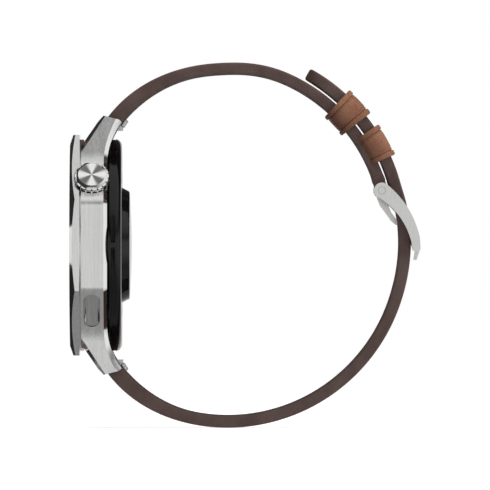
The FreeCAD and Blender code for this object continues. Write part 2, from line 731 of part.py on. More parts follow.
def cap_point(x, z, sense):
    # the far side of the round end about a lug's spring bar
    return V(x, 0, z) + V(-z, 0, x).normalize() * (sense * end_radius)


def local_prism(angle, radius, outline):
    # outline points are (along the strap, across it); the prism runs 8 mm along the radius
    turn_by = math.radians(angle)
    rotation = FreeCAD.Rotation(V(-math.sin(turn_by), 0, math.cos(turn_by)), V(0, 1, 0),
                                V(math.cos(turn_by), 0, math.sin(turn_by)) * -1, "XYZ")
    face = Part.Face(outline)
    solid = face.extrude(V(0, 0, 8))
    solid.Placement = FreeCAD.Placement(place_at(angle, radius) + rotation.multVec(V(0, 0, -4)), rotation)
    return solid


def pill_wire(long, wide):
    reach = (long - wide) / 2
    half = wide / 2
    edges = [Part.LineSegment(V(-reach, -half, 0), V(reach, -half, 0)).toShape(),
             Part.Arc(V(reach, -half, 0), V(reach + half, 0, 0), V(reach, half, 0)).toShape(),
             Part.LineSegment(V(reach, half, 0), V(-reach, half, 0)).toShape(),
             Part.Arc(V(-reach, half, 0), V(-reach - half, 0, 0), V(-reach, -half, 0)).toShape()]
    return Part.Wire(edges)


def sector(angle, half_length, inner, outer, half_width):
    # a block along the overlap's arc, half_length at radius 37.2 each way from its middle
    swing = math.degrees(half_length / 37.2)
    start = math.radians(angle - swing)
    end = math.radians(angle + swing)
    middle = math.radians(angle)

    def at(turn_by, radius):
        return overlap_middle + V(math.cos(turn_by), 0, math.sin(turn_by)) * radius
    edges = [Part.Arc(at(start, inner), at(middle, inner), at(end, inner)).toShape(),
             Part.LineSegment(at(end, inner), at(end, outer)).toShape(),
             Part.Arc(at(end, outer), at(middle, outer), at(start, outer)).toShape(),
             Part.LineSegment(at(start, outer), at(start, inner)).toShape()]
    face = Part.Face(Part.Wire(edges))
    return face.extrude(V(0, 2 * half_width, 0)).translated(V(0, -half_width, 0))


tail_half = value("strap_tail_width / 2")
fixed_angle = 29.3
fixed_keeper = sector(fixed_angle, 3.3, 35.45, 40.85, tail_half + 0.95).cut(
    sector(fixed_angle, 4.0, 36.2, 40.1, tail_half + 0.1))
free_angle = 43.0
free_keeper = sector(free_angle, 2.98, 33.5, 41.0, tail_half + 1.2).cut(
    sector(free_angle, 4.0, 34.35, 40.15, tail_half + 0.3))

bar_bore = value("bar_radius + running_gap")
upper_full = full_strap(upper_middle, buckle_angle, lug_angle, inner_half, None, cap_point(bar_x, bar_z, 1))
upper_full = upper_full.common(trim)
buckle_loop = bar_cylinder(buckle_x, buckle_z, buckle_loop_radius, tail_half)
upper_full = upper_full.fuse(buckle_loop)
upper_full = upper_full.cut(bar_cylinder(buckle_x, buckle_z, value("buckle_pin_radius"), 15))
upper_full = upper_full.cut(bar_cylinder(bar_x, bar_z, bar_bore, 15))
tongue_notch = Part.makeBox(5.2, 3.4, 5.6, V(buckle_x - 2.6, -1.7, buckle_z - 2.4))
upper_full = upper_full.cut(tongue_notch)
upper_full = upper_full.cut(fixed_keeper)


def lining_part(middle, start, end, layer_half):
    def low(angle):
        return -half_thickness(angle, layer_half) - 1.0

    def high(angle):
        return split
    return ribbon(middle, spread(start, end, 61), low, high)


def lever_slot(z_side):
    # opening on the wrist side for the release lever and its travel
    return Part.makeBox(6.0, 4.2, 3.4, V(bar_x, -8.4, z_side * (bar_z + 0.6) - 1.7))


upper_lining_zone = lining_part(upper_middle, buckle_angle + 4.5, lug_angle - 5.0, inner_half)
upper_full = upper_full.cut(lever_slot(1))
keep(plain_solid("upper_strap", upper_full.cut(upper_lining_zone)))
keep(plain_solid("upper_lining", upper_full.common(upper_lining_zone)))

tip_angle = 65.0
lower_full = full_strap(lower_middle, -lug_angle, tip_angle, outer_half, cap_point(bar_x, -bar_z, -1), None)
lower_full = lower_full.common(trim)
lower_full = lower_full.cut(bar_cylinder(bar_x, -bar_z, bar_bore, 15))
hole_angles = [7.0 + 9.5 * k for k in range(-3, 4)]
for angle in hole_angles:
    lower_full = lower_full.cut(local_prism(angle, lower_middle(angle), pill_wire(3.8, 2.3)))
tip_long = 6.5
tip_radius = lower_middle(tip_angle)
tip_box = local_prism(tip_angle, tip_radius, Part.makePolygon([
    V(-tip_long, -12, 0), V(3, -12, 0), V(3, 12, 0), V(-tip_long, 12, 0), V(-tip_long, -12, 0)]))
tip_curve = Part.Ellipse(V(-tip_long, tail_half + 0.02, 0), V(0, 0, 0), V(-tip_long, 0, 0))
tip_keep = local_prism(tip_angle, tip_radius, Part.Wire([tip_curve.toShape()]))
lower_full = lower_full.cut(tip_box.cut(tip_keep))
lower_full = lower_full.cut(lever_slot(-1))
lower_lining_zone = lining_part(lower_middle, -lug_angle + 5.0, tip_angle + 2, outer_half)
keep(plain_solid("lower_strap", lower_full.cut(lower_lining_zone)))
keep(plain_solid("lower_lining", lower_full.common(lower_lining_zone)))
keep(plain_solid("fixed_keeper", fixed_keeper))
keep(plain_solid("free_keeper", free_keeper))

# ---- spring bars with a quick-release lever, one per strap half ----
for side, name in ((1, "upper"), (-1, "lower")):
    height = side * bar_z
    barrel = bar_cylinder(bar_x, height, value("bar_radius"), 10.4)
    bore = Part.makeCylinder(0.65, 17.9, V(bar_x, -10.4, height), V(0, 1, 0))
    lever_gap = Part.makeBox(3.0, 3.6, 1.0, V(bar_x, -8.1, height - 0.5))
    fixed_pin = Part.makeCylinder(value("pin_radius"), 1.7, V(bar_x, 10.4, height), V(0, 1, 0))
    keep(plain_solid(name + "_bar_tube", barrel.cut(bore).cut(lever_gap).fuse(fixed_pin)))
    tip = Part.makeCylinder(value("pin_radius"), 2.2, V(bar_x, -12.1, height), V(0, 1, 0))
    piston = Part.makeCylinder(0.6, 4.4, V(bar_x, -9.95, height), V(0, 1, 0))
    lever = Part.makeBox(3.1, 1.2, 0.8, V(bar_x, -7.9, height - 0.4))
    knob = Part.makeBox(0.9, 1.8, 1.7, V(-0.45, -0.9, -0.85))
    knob = knob.makeFillet(0.2, knob.Edges)
    knob.rotate(V(0, 0, 0), V(0, 1, 0), side * 33.5)  # lies along the strap
    knob.translate(V(bar_x + 3.4, -7.3, height + side * 1.15))
    arm = Part.makeBox(0.8, 1.2, 1.4, V(bar_x + 2.3, -7.9, height + side * 0.5 - 0.7))
    keep(plain_solid(name + "_release_tip", tip.fuse([piston, lever, arm, knob])))
    spring = Part.makeCylinder(0.6, 8.4, V(bar_x, -1.5, height), V(0, 1, 0))
    hollow = Part.makeCylinder(0.42, 8.4, V(bar_x, -1.5, height), V(0, 1, 0))
    keep(plain_solid(name + "_bar_spring", spring.cut(hollow)))

# ---- buckle: bar, frame and tongue ----
keep(plain_solid("buckle_bar", bar_cylinder(buckle_x, buckle_z, value("buckle_pin_radius"), 12.15)))

frame_outer = "strap_tail_width / 2 + 2.5"
buckle_frame = new_body("buckle_frame")


def arm_outline(sketch):
    add_loop(sketch, [("buckle_x + 1.15", "buckle_z + 1.2", -19.5), (40.3, 1.94, -16), (40.5, -0.9, -0.85),
                      (38.88, -0.75, 15.4), ("buckle_x - 1.25", "buckle_z - 1.1")])


pad(buckle_frame, "XZ_Plane", 0, "2 * (" + frame_outer + ")", arm_outline, symmetric=True)
pad(buckle_frame, "XZ_Plane", 0, "2 * (" + frame_outer + ")",
    lambda sketch: add_circle(sketch, "buckle_x", "buckle_z", 1.65), symmetric=True)
pocket(buckle_frame, "XZ_Plane", 0, "strap_tail_width + 0.8", lambda sketch: add_loop(sketch, [
    (28, 1.2), (42, 1.2), (42, 15), (28, 15)]), symmetric=True)
pocket(buckle_frame, "XZ_Plane", 0, 40, lambda sketch: add_circle(
    sketch, "buckle_x", "buckle_z", "buckle_pin_radius + running_gap"), symmetric=True)
pocket(buckle_frame, "XZ_Plane", 0, "strap_tail_width + 0.8", lambda sketch: add_circle(
    sketch, 0, 0, "loop_radius + strap_thick / 2 + 0.45"), symmetric=True)
pocket(buckle_frame, "XZ_Plane", 0, 2.6, lambda sketch: add_loop(sketch, [
    (39.35, -3), (42, -3), (42, 3), (39.35, 3)]), symmetric=True)
keep(buckle_frame)

buckle_tongue = new_body("buckle_tongue")
tongue_sides = [("buckle_x - 1.2", "buckle_z - 0.9"), (32.0, 8.4), (33.3, 6.6), (34.4, 5.1), (35.2, 4.4),
                (38.6, 3.1), (39.55, 1.6), (39.6, 0.0), (39.1, -3.0), (39.75, -3.2), (40.35, -1.5),
                (40.6, 0.1), (40.45, 1.9), (39.3, 4.0), (35.5, 5.5), (34.4, 7.0), (33.6, 9.0),
                ("buckle_x + 1.2", "buckle_z - 0.4")]
pad(buckle_tongue, "XZ_Plane", 0, 1.6, lambda sketch: add_loop(sketch, tongue_sides), symmetric=True)
pad(buckle_tongue, "XZ_Plane", 0, 2.8, lambda sketch: add_circle(sketch, "buckle_x", "buckle_z", 1.6),
    symmetric=True)
pocket(buckle_tongue, "XZ_Plane", 0, 10, lambda sketch: add_circle(
    sketch, "buckle_x", "buckle_z", "buckle_pin_radius + running_gap"), symmetric=True)
keep(buckle_tongue)

# ---- checks and export ----
seal_body.Label = "crown_seals"
keep(seal_body, crown_place)
doc.recompute()
for item in doc.Objects:
    if "Invalid" in item.State or "Error" in item.State:
        raise RuntimeError(f"{item.Label} failed: {item.State}")
os.makedirs("parts", exist_ok=True)
for item in nodes:
    shape = item.Shape
    if shape.isNull() or not shape.isValid() or shape.Volume <= 0:
        raise RuntimeError(f"{item.Label} has a bad shape")
    shape.exportStep(f"parts/{item.Label}.step")
    print(f"{item.Label:18s} {shape.Volume:9.2f} mm3, {len(shape.Solids)} solid(s)")
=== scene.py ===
import json
import math
from functools import partial

import bmesh
import bpy
from mathutils import Matrix, Vector

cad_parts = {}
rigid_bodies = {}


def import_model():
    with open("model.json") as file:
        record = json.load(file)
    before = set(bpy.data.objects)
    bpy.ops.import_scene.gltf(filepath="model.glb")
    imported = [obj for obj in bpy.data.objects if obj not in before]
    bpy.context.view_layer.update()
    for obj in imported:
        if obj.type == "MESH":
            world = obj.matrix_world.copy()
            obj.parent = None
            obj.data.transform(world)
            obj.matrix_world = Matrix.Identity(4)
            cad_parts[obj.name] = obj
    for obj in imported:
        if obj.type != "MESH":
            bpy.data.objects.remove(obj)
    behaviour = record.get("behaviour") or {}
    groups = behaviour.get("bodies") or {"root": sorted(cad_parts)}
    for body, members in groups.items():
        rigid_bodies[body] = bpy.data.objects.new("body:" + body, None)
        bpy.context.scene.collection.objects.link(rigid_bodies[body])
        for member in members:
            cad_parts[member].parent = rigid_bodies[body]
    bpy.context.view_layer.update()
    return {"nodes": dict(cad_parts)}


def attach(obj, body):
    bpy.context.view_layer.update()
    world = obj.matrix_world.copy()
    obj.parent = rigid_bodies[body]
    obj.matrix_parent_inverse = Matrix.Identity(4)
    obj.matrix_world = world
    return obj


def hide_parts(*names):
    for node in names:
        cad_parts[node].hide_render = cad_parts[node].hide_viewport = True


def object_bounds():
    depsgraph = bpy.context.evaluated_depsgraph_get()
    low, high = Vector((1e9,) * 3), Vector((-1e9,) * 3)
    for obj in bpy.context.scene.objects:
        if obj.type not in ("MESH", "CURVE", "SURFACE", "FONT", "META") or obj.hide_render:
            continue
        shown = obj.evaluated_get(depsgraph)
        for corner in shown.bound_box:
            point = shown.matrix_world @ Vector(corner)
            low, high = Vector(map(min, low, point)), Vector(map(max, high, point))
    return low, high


for leftover in list(bpy.data.objects):
    bpy.data.objects.remove(leftover)
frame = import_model()
nodes = frame["nodes"]
mm = 0.001
turnDown = math.radians(36)  # crown and button lean this far from straight out
print("frame loaded:", len(nodes), "CAD nodes")


def addNode(tree, kind, inputs=None, **settings):
    node = tree.nodes.new(kind)
    for key, value in settings.items():
        setattr(node, key, value)
    for key, value in (inputs or {}).items():
        if isinstance(value, bpy.types.NodeSocket):
            tree.links.new(value, node.inputs[key])
        else:
            node.inputs[key].default_value = value
    return node


def linear(hexText):
    channels = [int(hexText[i:i + 2], 16) / 255 for i in (1, 3, 5)]
    return tuple(c / 12.92 if c <= 0.04045 else ((c + 0.055) / 1.055) ** 2.4 for c in channels) + (1.0,)


def startMaterial(name):
    material = bpy.data.materials.new(name)
    material.use_nodes = True
    material.node_tree.nodes.clear()
    return material, partial(addNode, material.node_tree)


def finishMaterial(material, add, inputs):
    shader = add("ShaderNodeBsdfPrincipled", inputs)
    add("ShaderNodeOutputMaterial", {"Surface": shader.outputs[0]})
    return material


def millimetres(add):
    spot = add("ShaderNodeTexCoord")
    return add("ShaderNodeVectorMath", {0: spot.outputs["Object"], "Scale": 1000.0},
               operation="SCALE").outputs[0]


def grain(add, place, size, stretch=(1, 1, 1), detail=3.0, roughness=0.55):
    # noise whose blotches are `size` mm across, longer by `stretch` on each axis
    scaled = add("ShaderNodeVectorMath", {0: place, 1: tuple(1 / (size * s) for s in stretch)},
                 operation="MULTIPLY")
    noise = add("ShaderNodeTexNoise", {"Vector": scaled.outputs[0], "Scale": 1.0, "Detail": detail,
                                       "Roughness": roughness})
    return noise.outputs["Fac"]


def between(add, value, low, high, newLow=0.0, newHigh=1.0):
    # eases from newLow to newHigh while the value goes from low to high
    ends = {"Value": value, "From Min": low, "From Max": high, "To Min": newLow, "To Max": newHigh}
    return add("ShaderNodeMapRange", ends, interpolation_type="SMOOTHSTEP").outputs[0]


def combine(add, operation, first, second):
    return add("ShaderNodeMath", {0: first, 1: second}, operation=operation).outputs[0]


def blendColour(add, factor, first, second):
    return add("ShaderNodeMix", {0: factor, 6: first, 7: second}, data_type="RGBA").outputs[2]


def wave(add, value, pitch):
    # rises and falls once in each `pitch`
    return add("ShaderNodeMath", {0: combine(add, "MULTIPLY", value, 2 * math.pi / pitch)},
               operation="SINE").outputs[0]


def relief(add, height, depth):
    return add("ShaderNodeBump", {"Height": height, "Distance": depth * mm, "Strength": 1.0}).outputs[0]


def fromCaseAxis(add, place):
    # direction and distance from the middle of the case, whose axis is X
    flat = add("ShaderNodeVectorMath", {0: place, 1: (0, 1, 1)}, operation="MULTIPLY").outputs[0]
    return flat, add("ShaderNodeVectorMath", {0: flat}, operation="LENGTH").outputs["Value"]


def facing(add, axis):
    # how squarely the surface faces along an axis of the object, 0 to 1
    spot = add("ShaderNodeTexCoord")
    dot = add("ShaderNodeVectorMath", {0: spot.outputs["Normal"], 1: axis}, operation="DOT_PRODUCT")
    return combine(add, "ABSOLUTE", dot.outputs["Value"], 0.0)


def makeSteel(name, look):  # stainless steel: drawn grain on the flats, mirror polish on the slopes
    material, add = startMaterial(name)
    place = millimetres(add)
    along = look["along"]
    fine = grain(add, place, look["lineWidth"], along, 2.0)
    broad = grain(add, place, look["lineWidth"] * 7, along, 3.0)
    smudge = grain(add, place, 6.0, detail=4.0)
    scratch = grain(add, place, 0.16, (1, 1, 30), 1.0)
    brushed = look["brushed"](add) if look.get("brushed") else 1.0
    lines = combine(add, "ADD", combine(add, "MULTIPLY", fine, 0.6), combine(add, "MULTIPLY", broad, 0.4))
    dark, light = linear(look["dark"]), linear(look["light"])
    brushTone = blendColour(add, between(add, lines, 0.3, 0.7), dark, light)
    tone = blendColour(add, brushed, linear(look["polish"]), brushTone)
    satin = between(add, lines, 0.25, 0.75, look["satin"] - 0.07, look["satin"] + 0.07)
    mirror = between(add, smudge, 0.35, 0.75, look["mirror"], look["mirror"] + 0.09)
    rough = add("ShaderNodeMix", {0: brushed, 2: mirror, 3: satin}, data_type="FLOAT").outputs[0]
    depth = combine(add, "MULTIPLY", lines, brushed)
    hairline = between(add, scratch, 0.70, 0.74, 0.0, 0.05)
    shape = combine(add, "SUBTRACT", depth, hairline)
    bump = relief(add, shape, look["depth"])
    return finishMaterial(material, add, {"Base Color": tone, "Metallic": 1.0, "Roughness": rough,
                                          "Normal": bump})


steelLook = {
    "case": {"light": "#ececeb", "dark": "#cfcfce", "polish": "#e2e2e1", "satin": 0.33, "mirror": 0.05,
             "lineWidth": 0.11, "along": (1, 1, 60), "depth": 0.006,
             "brushed": lambda add: between(add, facing(add, (1, 0, 0)), 0.22, 0.10)},
    "bezel": {"light": "#dadad9", "dark": "#c2c2c1", "polish": "#d2d2d1", "satin": 0.20, "mirror": 0.05,
              "lineWidth": 0.10, "along": (1, 1, 50), "depth": 0.004,
              "brushed": lambda add: between(add, facing(add, (1, 0, 0)), 0.25, 0.12)},
    "buckle": {"light": "#dededd", "dark": "#c8c8c7", "polish": "#e4e4e3", "satin": 0.30, "mirror": 0.08,
               "lineWidth": 0.10, "along": (8, 1, 24), "depth": 0.004,
               "brushed": lambda add: between(add, facing(add, (0, 1, 0)), 0.55, 0.85)},
    "button": {"light": "#cfcfce", "dark": "#b4b4b3", "polish": "#e3e3e2", "satin": 0.28, "mirror": 0.06,
               "lineWidth": 0.09, "along": (1, 30, 40), "depth": 0.004,
               "brushed": lambda add: between(add, facing(add, (0, -math.cos(turnDown), -math.sin(turnDown))),
                                              0.93, 0.985)},
    "inner": {"light": "#cfd0d0", "dark": "#a9aaab", "polish": "#cfd0d0", "satin": 0.30, "mirror": 0.18,
              "lineWidth": 0.12, "along": (1, 1, 1), "depth": 0.004},
}


def makeCrownSteel(name, look):  # turned steel whose end is spun, so that light fans out from the middle; the end face also carries painted highlight and painted shade in wedges
    material, add = startMaterial(name)
    place = millimetres(add)
    fromCentre = add("ShaderNodeVectorMath", {0: place, 1: look["centre"]}, operation="SUBTRACT").outputs[0]
    axis = look["axis"]
    height = add("ShaderNodeVectorMath", {0: fromCentre, 1: axis}, operation="DOT_PRODUCT").outputs["Value"]
    alongAxis = add("ShaderNodeVectorMath", {0: axis, "Scale": height}, operation="SCALE").outputs[0]
    flat = add("ShaderNodeVectorMath", {0: fromCentre, 1: alongAxis}, operation="SUBTRACT").outputs[0]
    radius = add("ShaderNodeVectorMath", {0: flat}, operation="LENGTH").outputs["Value"]
    ring = add("ShaderNodeVectorMath", {0: axis, 1: flat}, operation="CROSS_PRODUCT").outputs[0]
    worldRing = add("ShaderNodeVectorTransform", {0: ring}, vector_type="VECTOR", convert_from="OBJECT",
                    convert_to="WORLD")
    tangent = add("ShaderNodeVectorMath", {0: worldRing.outputs[0]}, operation="NORMALIZE").outputs[0]
    onTop = between(add, facing(add, axis), 0.985, 0.997)
    onFace = combine(add, "MULTIPLY", between(add, radius, look["faceRadius"] + 0.03,
                                              look["faceRadius"] - 0.03), onTop)
    side = add("ShaderNodeVectorMath", {0: flat, 1: (1, 0, 0)}, operation="DOT_PRODUCT").outputs["Value"]
    up = add("ShaderNodeVectorMath", {0: flat, 1: (0, math.sin(turnDown), math.cos(turnDown))},
             operation="DOT_PRODUCT").outputs["Value"]
    angle = combine(add, "ARCTAN2", up, side)
    # painted highlight and painted shade: end face lighter to the sides, top and bottom, darker on the
    # diagonals
    paintedWedges = add("ShaderNodeMath", {0: combine(add, "MULTIPLY", angle, 4.0)}, operation="COSINE").outputs[0]
    spokes = add("ShaderNodeTexNoise", {"W": combine(add, "MULTIPLY", angle, 30.0), "Scale": 1.0,
                                        "Detail": 3.0}, noise_dimensions="1D").outputs["Fac"]
    paintedWedgesAndSpokes = combine(add, "ADD", paintedWedges, combine(add, "MULTIPLY", combine(add, "SUBTRACT", spokes, 0.5), 1.3))
    paintedWedgeTone = blendColour(add, between(add, paintedWedgesAndSpokes, -0.75, 0.8), linear(look["paintedWedgeShade"]),
                           linear(look["paintedWedgeHighlight"]))
    tone = blendColour(add, onFace, linear(look["polish"]), paintedWedgeTone)
    turned = grain(add, place, 0.08, detail=2.0)
    rough = add("ShaderNodeMix", {0: onFace, 2: between(add, turned, 0.3, 0.7, 0.06, 0.12),
                                  3: between(add, spokes, 0.3, 0.7, 0.24, 0.34)},
                                  data_type="FLOAT").outputs[0]
    rings = wave(add, radius, look["ringPitch"])
    bump = relief(add, combine(add, "MULTIPLY", rings, onFace), look["ringDepth"])
    return finishMaterial(material, add, {"Base Color": tone, "Metallic": 1.0, "Roughness": rough,
                                          "Normal": bump,
                                             "Anisotropic": combine(add, "MULTIPLY", onFace, 0.75),
                                             "Tangent": tangent})


# the darker and lighter wedge colours of the end face are painted shade and painted highlight
crownLook = {
    "axis": (0, -math.cos(turnDown), math.sin(turnDown)), "centre": (-28.4, 0, 0), "faceRadius": 2.9,
    "paintedWedgeShade": "#747473", "paintedWedgeHighlight": "#f2f2f1", "polish": "#e0e0df", "ringPitch": 0.11, "ringDepth": 0.0012,
}


def makePlainMetal(name, look):  # pressed, cast, wound or foil metal
    material, add = startMaterial(name)
    place = millimetres(add)
    coarse = grain(add, place, look["blotch"], look.get("along", (1, 1, 1)), 4.0)
    fine = grain(add, place, look["blotch"] / 8, look.get("along", (1, 1, 1)), 2.0)
    both = combine(add, "ADD", combine(add, "MULTIPLY", coarse, 0.6), combine(add, "MULTIPLY", fine, 0.4))
    tone = blendColour(add, between(add, both, 0.3, 0.7), linear(look["dark"]), linear(look["light"]))
    rough = between(add, both, 0.3, 0.7, look["rough"], look["rough"] + 0.15)
    height = both
    if "winding" in look:
        turns = wave(add, fromCaseAxis(add, place)[1], look["winding"])
        tone = blendColour(add, between(add, turns, -1.0, -0.4), linear(look["gap"]), tone)
        height = combine(add, "ADD", height, turns)
    bump = relief(add, height, look["depth"])
    return finishMaterial(material, add, {"Base Color": tone, "Metallic": 1.0, "Roughness": rough,
                                          "Normal": bump})


plainMetalLook = {
    "copper": {"light": "#d08a5c", "dark": "#a05c38", "gap": "#3a2016", "blotch": 1.2, "rough": 0.25,
               "depth": 0.02, "winding": 0.42},
    "foil": {"light": "#b9bbbd", "dark": "#8b8d90", "blotch": 2.4, "rough": 0.30, "depth": 0.06},
    "frame": {"light": "#a7a9ab", "dark": "#85878a", "blotch": 0.5, "rough": 0.42, "depth": 0.012},
}


def makeWovenMesh(name):  # fine woven steel cloth behind the sound openings
    material, add = startMaterial(name)
    place = millimetres(add)
    split = add("ShaderNodeSeparateXYZ", {0: place})
    threadPitch = 0.16
    weave = combine(add, "MAXIMUM", wave(add, split.outputs["X"], threadPitch),
                    wave(add, split.outputs["Z"], threadPitch))
    tone = blendColour(add, between(add, weave, 0.2, 0.8), linear("#08080a"), linear("#5b5c5e"))
    return finishMaterial(material, add, {"Base Color": tone, "Metallic": 0.9,
                                          "Roughness": between(add, weave, 0.2, 0.9, 0.6, 0.35),
                                          "Normal": relief(add, weave, 0.03)})


def makeGloss(name, look):  # moulded or glazed black parts with a hard shine
    material, add = startMaterial(name)
    place = millimetres(add)
    cloud = grain(add, place, look["blotch"], detail=4.0)
    speck = grain(add, place, 0.05, detail=1.0)
    scratch = grain(add, place, 0.10, (1, 1, 45), 1.0)
    tone = blendColour(add, between(add, cloud, 0.3, 0.7), linear(look["dark"]), linear(look["light"]))
    rough = between(add, cloud, 0.3, 0.75, look["rough"], look["rough"] + look["roughSpread"])
    height = combine(add, "SUBTRACT", combine(add, "MULTIPLY", speck, 0.3),
                     between(add, scratch, 0.70, 0.74, 0.0, 0.4))
    return finishMaterial(material, add, {"Base Color": tone, "Roughness": rough,
                                          "Normal": relief(add, height, look["depth"]),
                                             "IOR": 1.5, "Specular IOR Level": look["gloss"]})


glossLook = {
    "cover": {"light": "#0a0a0b", "dark": "#040405", "blotch": 5.0, "rough": 0.10, "roughSpread": 0.12,
              "depth": 0.0015, "gloss": 0.3},
    "rubber": {"light": "#161616", "dark": "#0c0c0c", "blotch": 0.8, "rough": 0.62, "roughSpread": 0.2,
               "depth": 0.006, "gloss": 0.3},
    "plastic": {"light": "#1b1b1d", "dark": "#111112", "blotch": 0.6, "rough": 0.42, "roughSpread": 0.2,
                "depth": 0.008, "gloss": 0.35},
}


def makeSensorGlass(name):  # tinted mineral crystal with printed rings and dark windows
    material, add = startMaterial(name)
    place = millimetres(add)
    flat, radius = fromCaseAxis(add, place)
    split = add("ShaderNodeSeparateXYZ", {0: flat})
    angle = combine(add, "ARCTAN2", split.outputs["Z"], split.outputs["Y"])
    quarter = add("ShaderNodeMath", {0: combine(add, "MULTIPLY", angle, 4.0)}, operation="COSINE").outputs[0]

    def band(middle, width):
        gap = combine(add, "ABSOLUTE", combine(add, "SUBTRACT", radius, middle), 0.0)
        return between(add, gap, width / 2 + 0.04, width / 2 - 0.04)

    eye = combine(add, "MULTIPLY", band(5.0, 2.4), between(add, quarter, 0.15, 0.25))
    lamp = between(add, radius, 1.65, 1.55)
    windows = combine(add, "MAXIMUM", eye, lamp)
    rim = combine(add, "MAXIMUM", band(8.7, 0.16), band(10.9, 0.10))
    cloud = grain(add, place, 3.0, detail=4.0)
    base = blendColour(add, between(add, cloud, 0.3, 0.7), linear("#08080a"), linear("#0f1013"))
    withWindows = blendColour(add, windows, base, linear("#3c1f1a"))
    tone = blendColour(add, rim, withWindows, linear("#53555a"))
    rough = between(add, cloud, 0.3, 0.75, 0.06, 0.14)
    return finishMaterial(material, add, {"Base Color": tone, "Roughness": rough, "Specular IOR Level": 0.3,
                                          "IOR": 1.55,
                                             "Normal": relief(add, combine(add, "MULTIPLY", windows, -1.0),
                                                              0.01)})


def makeSapphire(name):  # coated crystal, so its shine is weaker than bare sapphire, with faint wipe marks
    material, add = startMaterial(name)
    place = millimetres(add)
    smear = grain(add, place, 5.0, (1, 3, 1), 2.0)
    rough = between(add, smear, 0.5, 0.8, 0.0, 0.02)
    return finishMaterial(material, add, {"Base Color": linear("#f4f7fa"), "Roughness": rough,
                                          "Transmission Weight": 1.0, "IOR": 1.3})


def makeDisplay(name):  # dark screen behind the crystal, faintly lit ring
    material, add = startMaterial(name)
    place = millimetres(add)
    radius = fromCaseAxis(add, place)[1]
    film = grain(add, place, 4.0, detail=2.0)
    glow = blendColour(add, between(add, radius, 3.0, 17.0), linear("#2a4258"), linear("#060a10"))
    inRing = between(add, radius, 17.3, 17.1)
    lit = combine(add, "MULTIPLY", inRing, between(add, film, 0.2, 0.8, 0.46, 0.54))
    return finishMaterial(material, add, {"Base Color": linear("#050608"), "Specular IOR Level": 0.1,
                                          "Roughness": between(add, film, 0.3, 0.7, 0.18, 0.3),
                                             "Emission Color": glow, "Emission Strength": lit})


def makeInk(name, colourText, strength, rough):  # dial marks and engraved paint
    material, add = startMaterial(name)
    place = millimetres(add)
    dust = grain(add, place, 0.3, detail=3.0)
    tone = blendColour(add, between(add, dust, 0.3, 0.7, 0.0, 0.25), linear(colourText), linear("#808080"))
    return finishMaterial(material, add, {"Base Color": tone,
                                          "Roughness": between(add, dust, 0.3, 0.7, rough, rough + 0.15),
                                             "Emission Color": linear(colourText),
                                             "Emission Strength": strength})


def makeBoard(name):  # green solder resist over copper tracks
    material, add = startMaterial(name)
    place = millimetres(add)
    swap = add("ShaderNodeSeparateXYZ", {0: place})
    plane = add("ShaderNodeCombineXYZ", {0: swap.outputs["Y"], 1: swap.outputs["Z"], 2: 0.0}).outputs[0]
    tracks = add("ShaderNodeTexBrick", {"Vector": plane, "Scale": 1.0, "Mortar Size": 0.12,
                                        "Brick Width": 1.7, "Row Height": 0.55})
    pads = add("ShaderNodeTexVoronoi", {"Vector": plane, "Scale": 0.8}, feature="DISTANCE_TO_EDGE")
    pad = between(add, pads.outputs["Distance"], 0.42, 0.47)
    tone = blendColour(add, tracks.outputs["Fac"], linear("#0f4a2c"), linear("#1d6b40"))
    tone = blendColour(add, pad, tone, linear("#b9b9a8"))
    height = combine(add, "ADD", tracks.outputs["Fac"], pad)
    return finishMaterial(material, add, {"Base Color": tone, "Roughness": 0.38,
                                          "Metallic": combine(add, "MULTIPLY", pad, 0.9),
                                             "Coat Weight": 0.3, "Normal": relief(add, height, 0.02)})


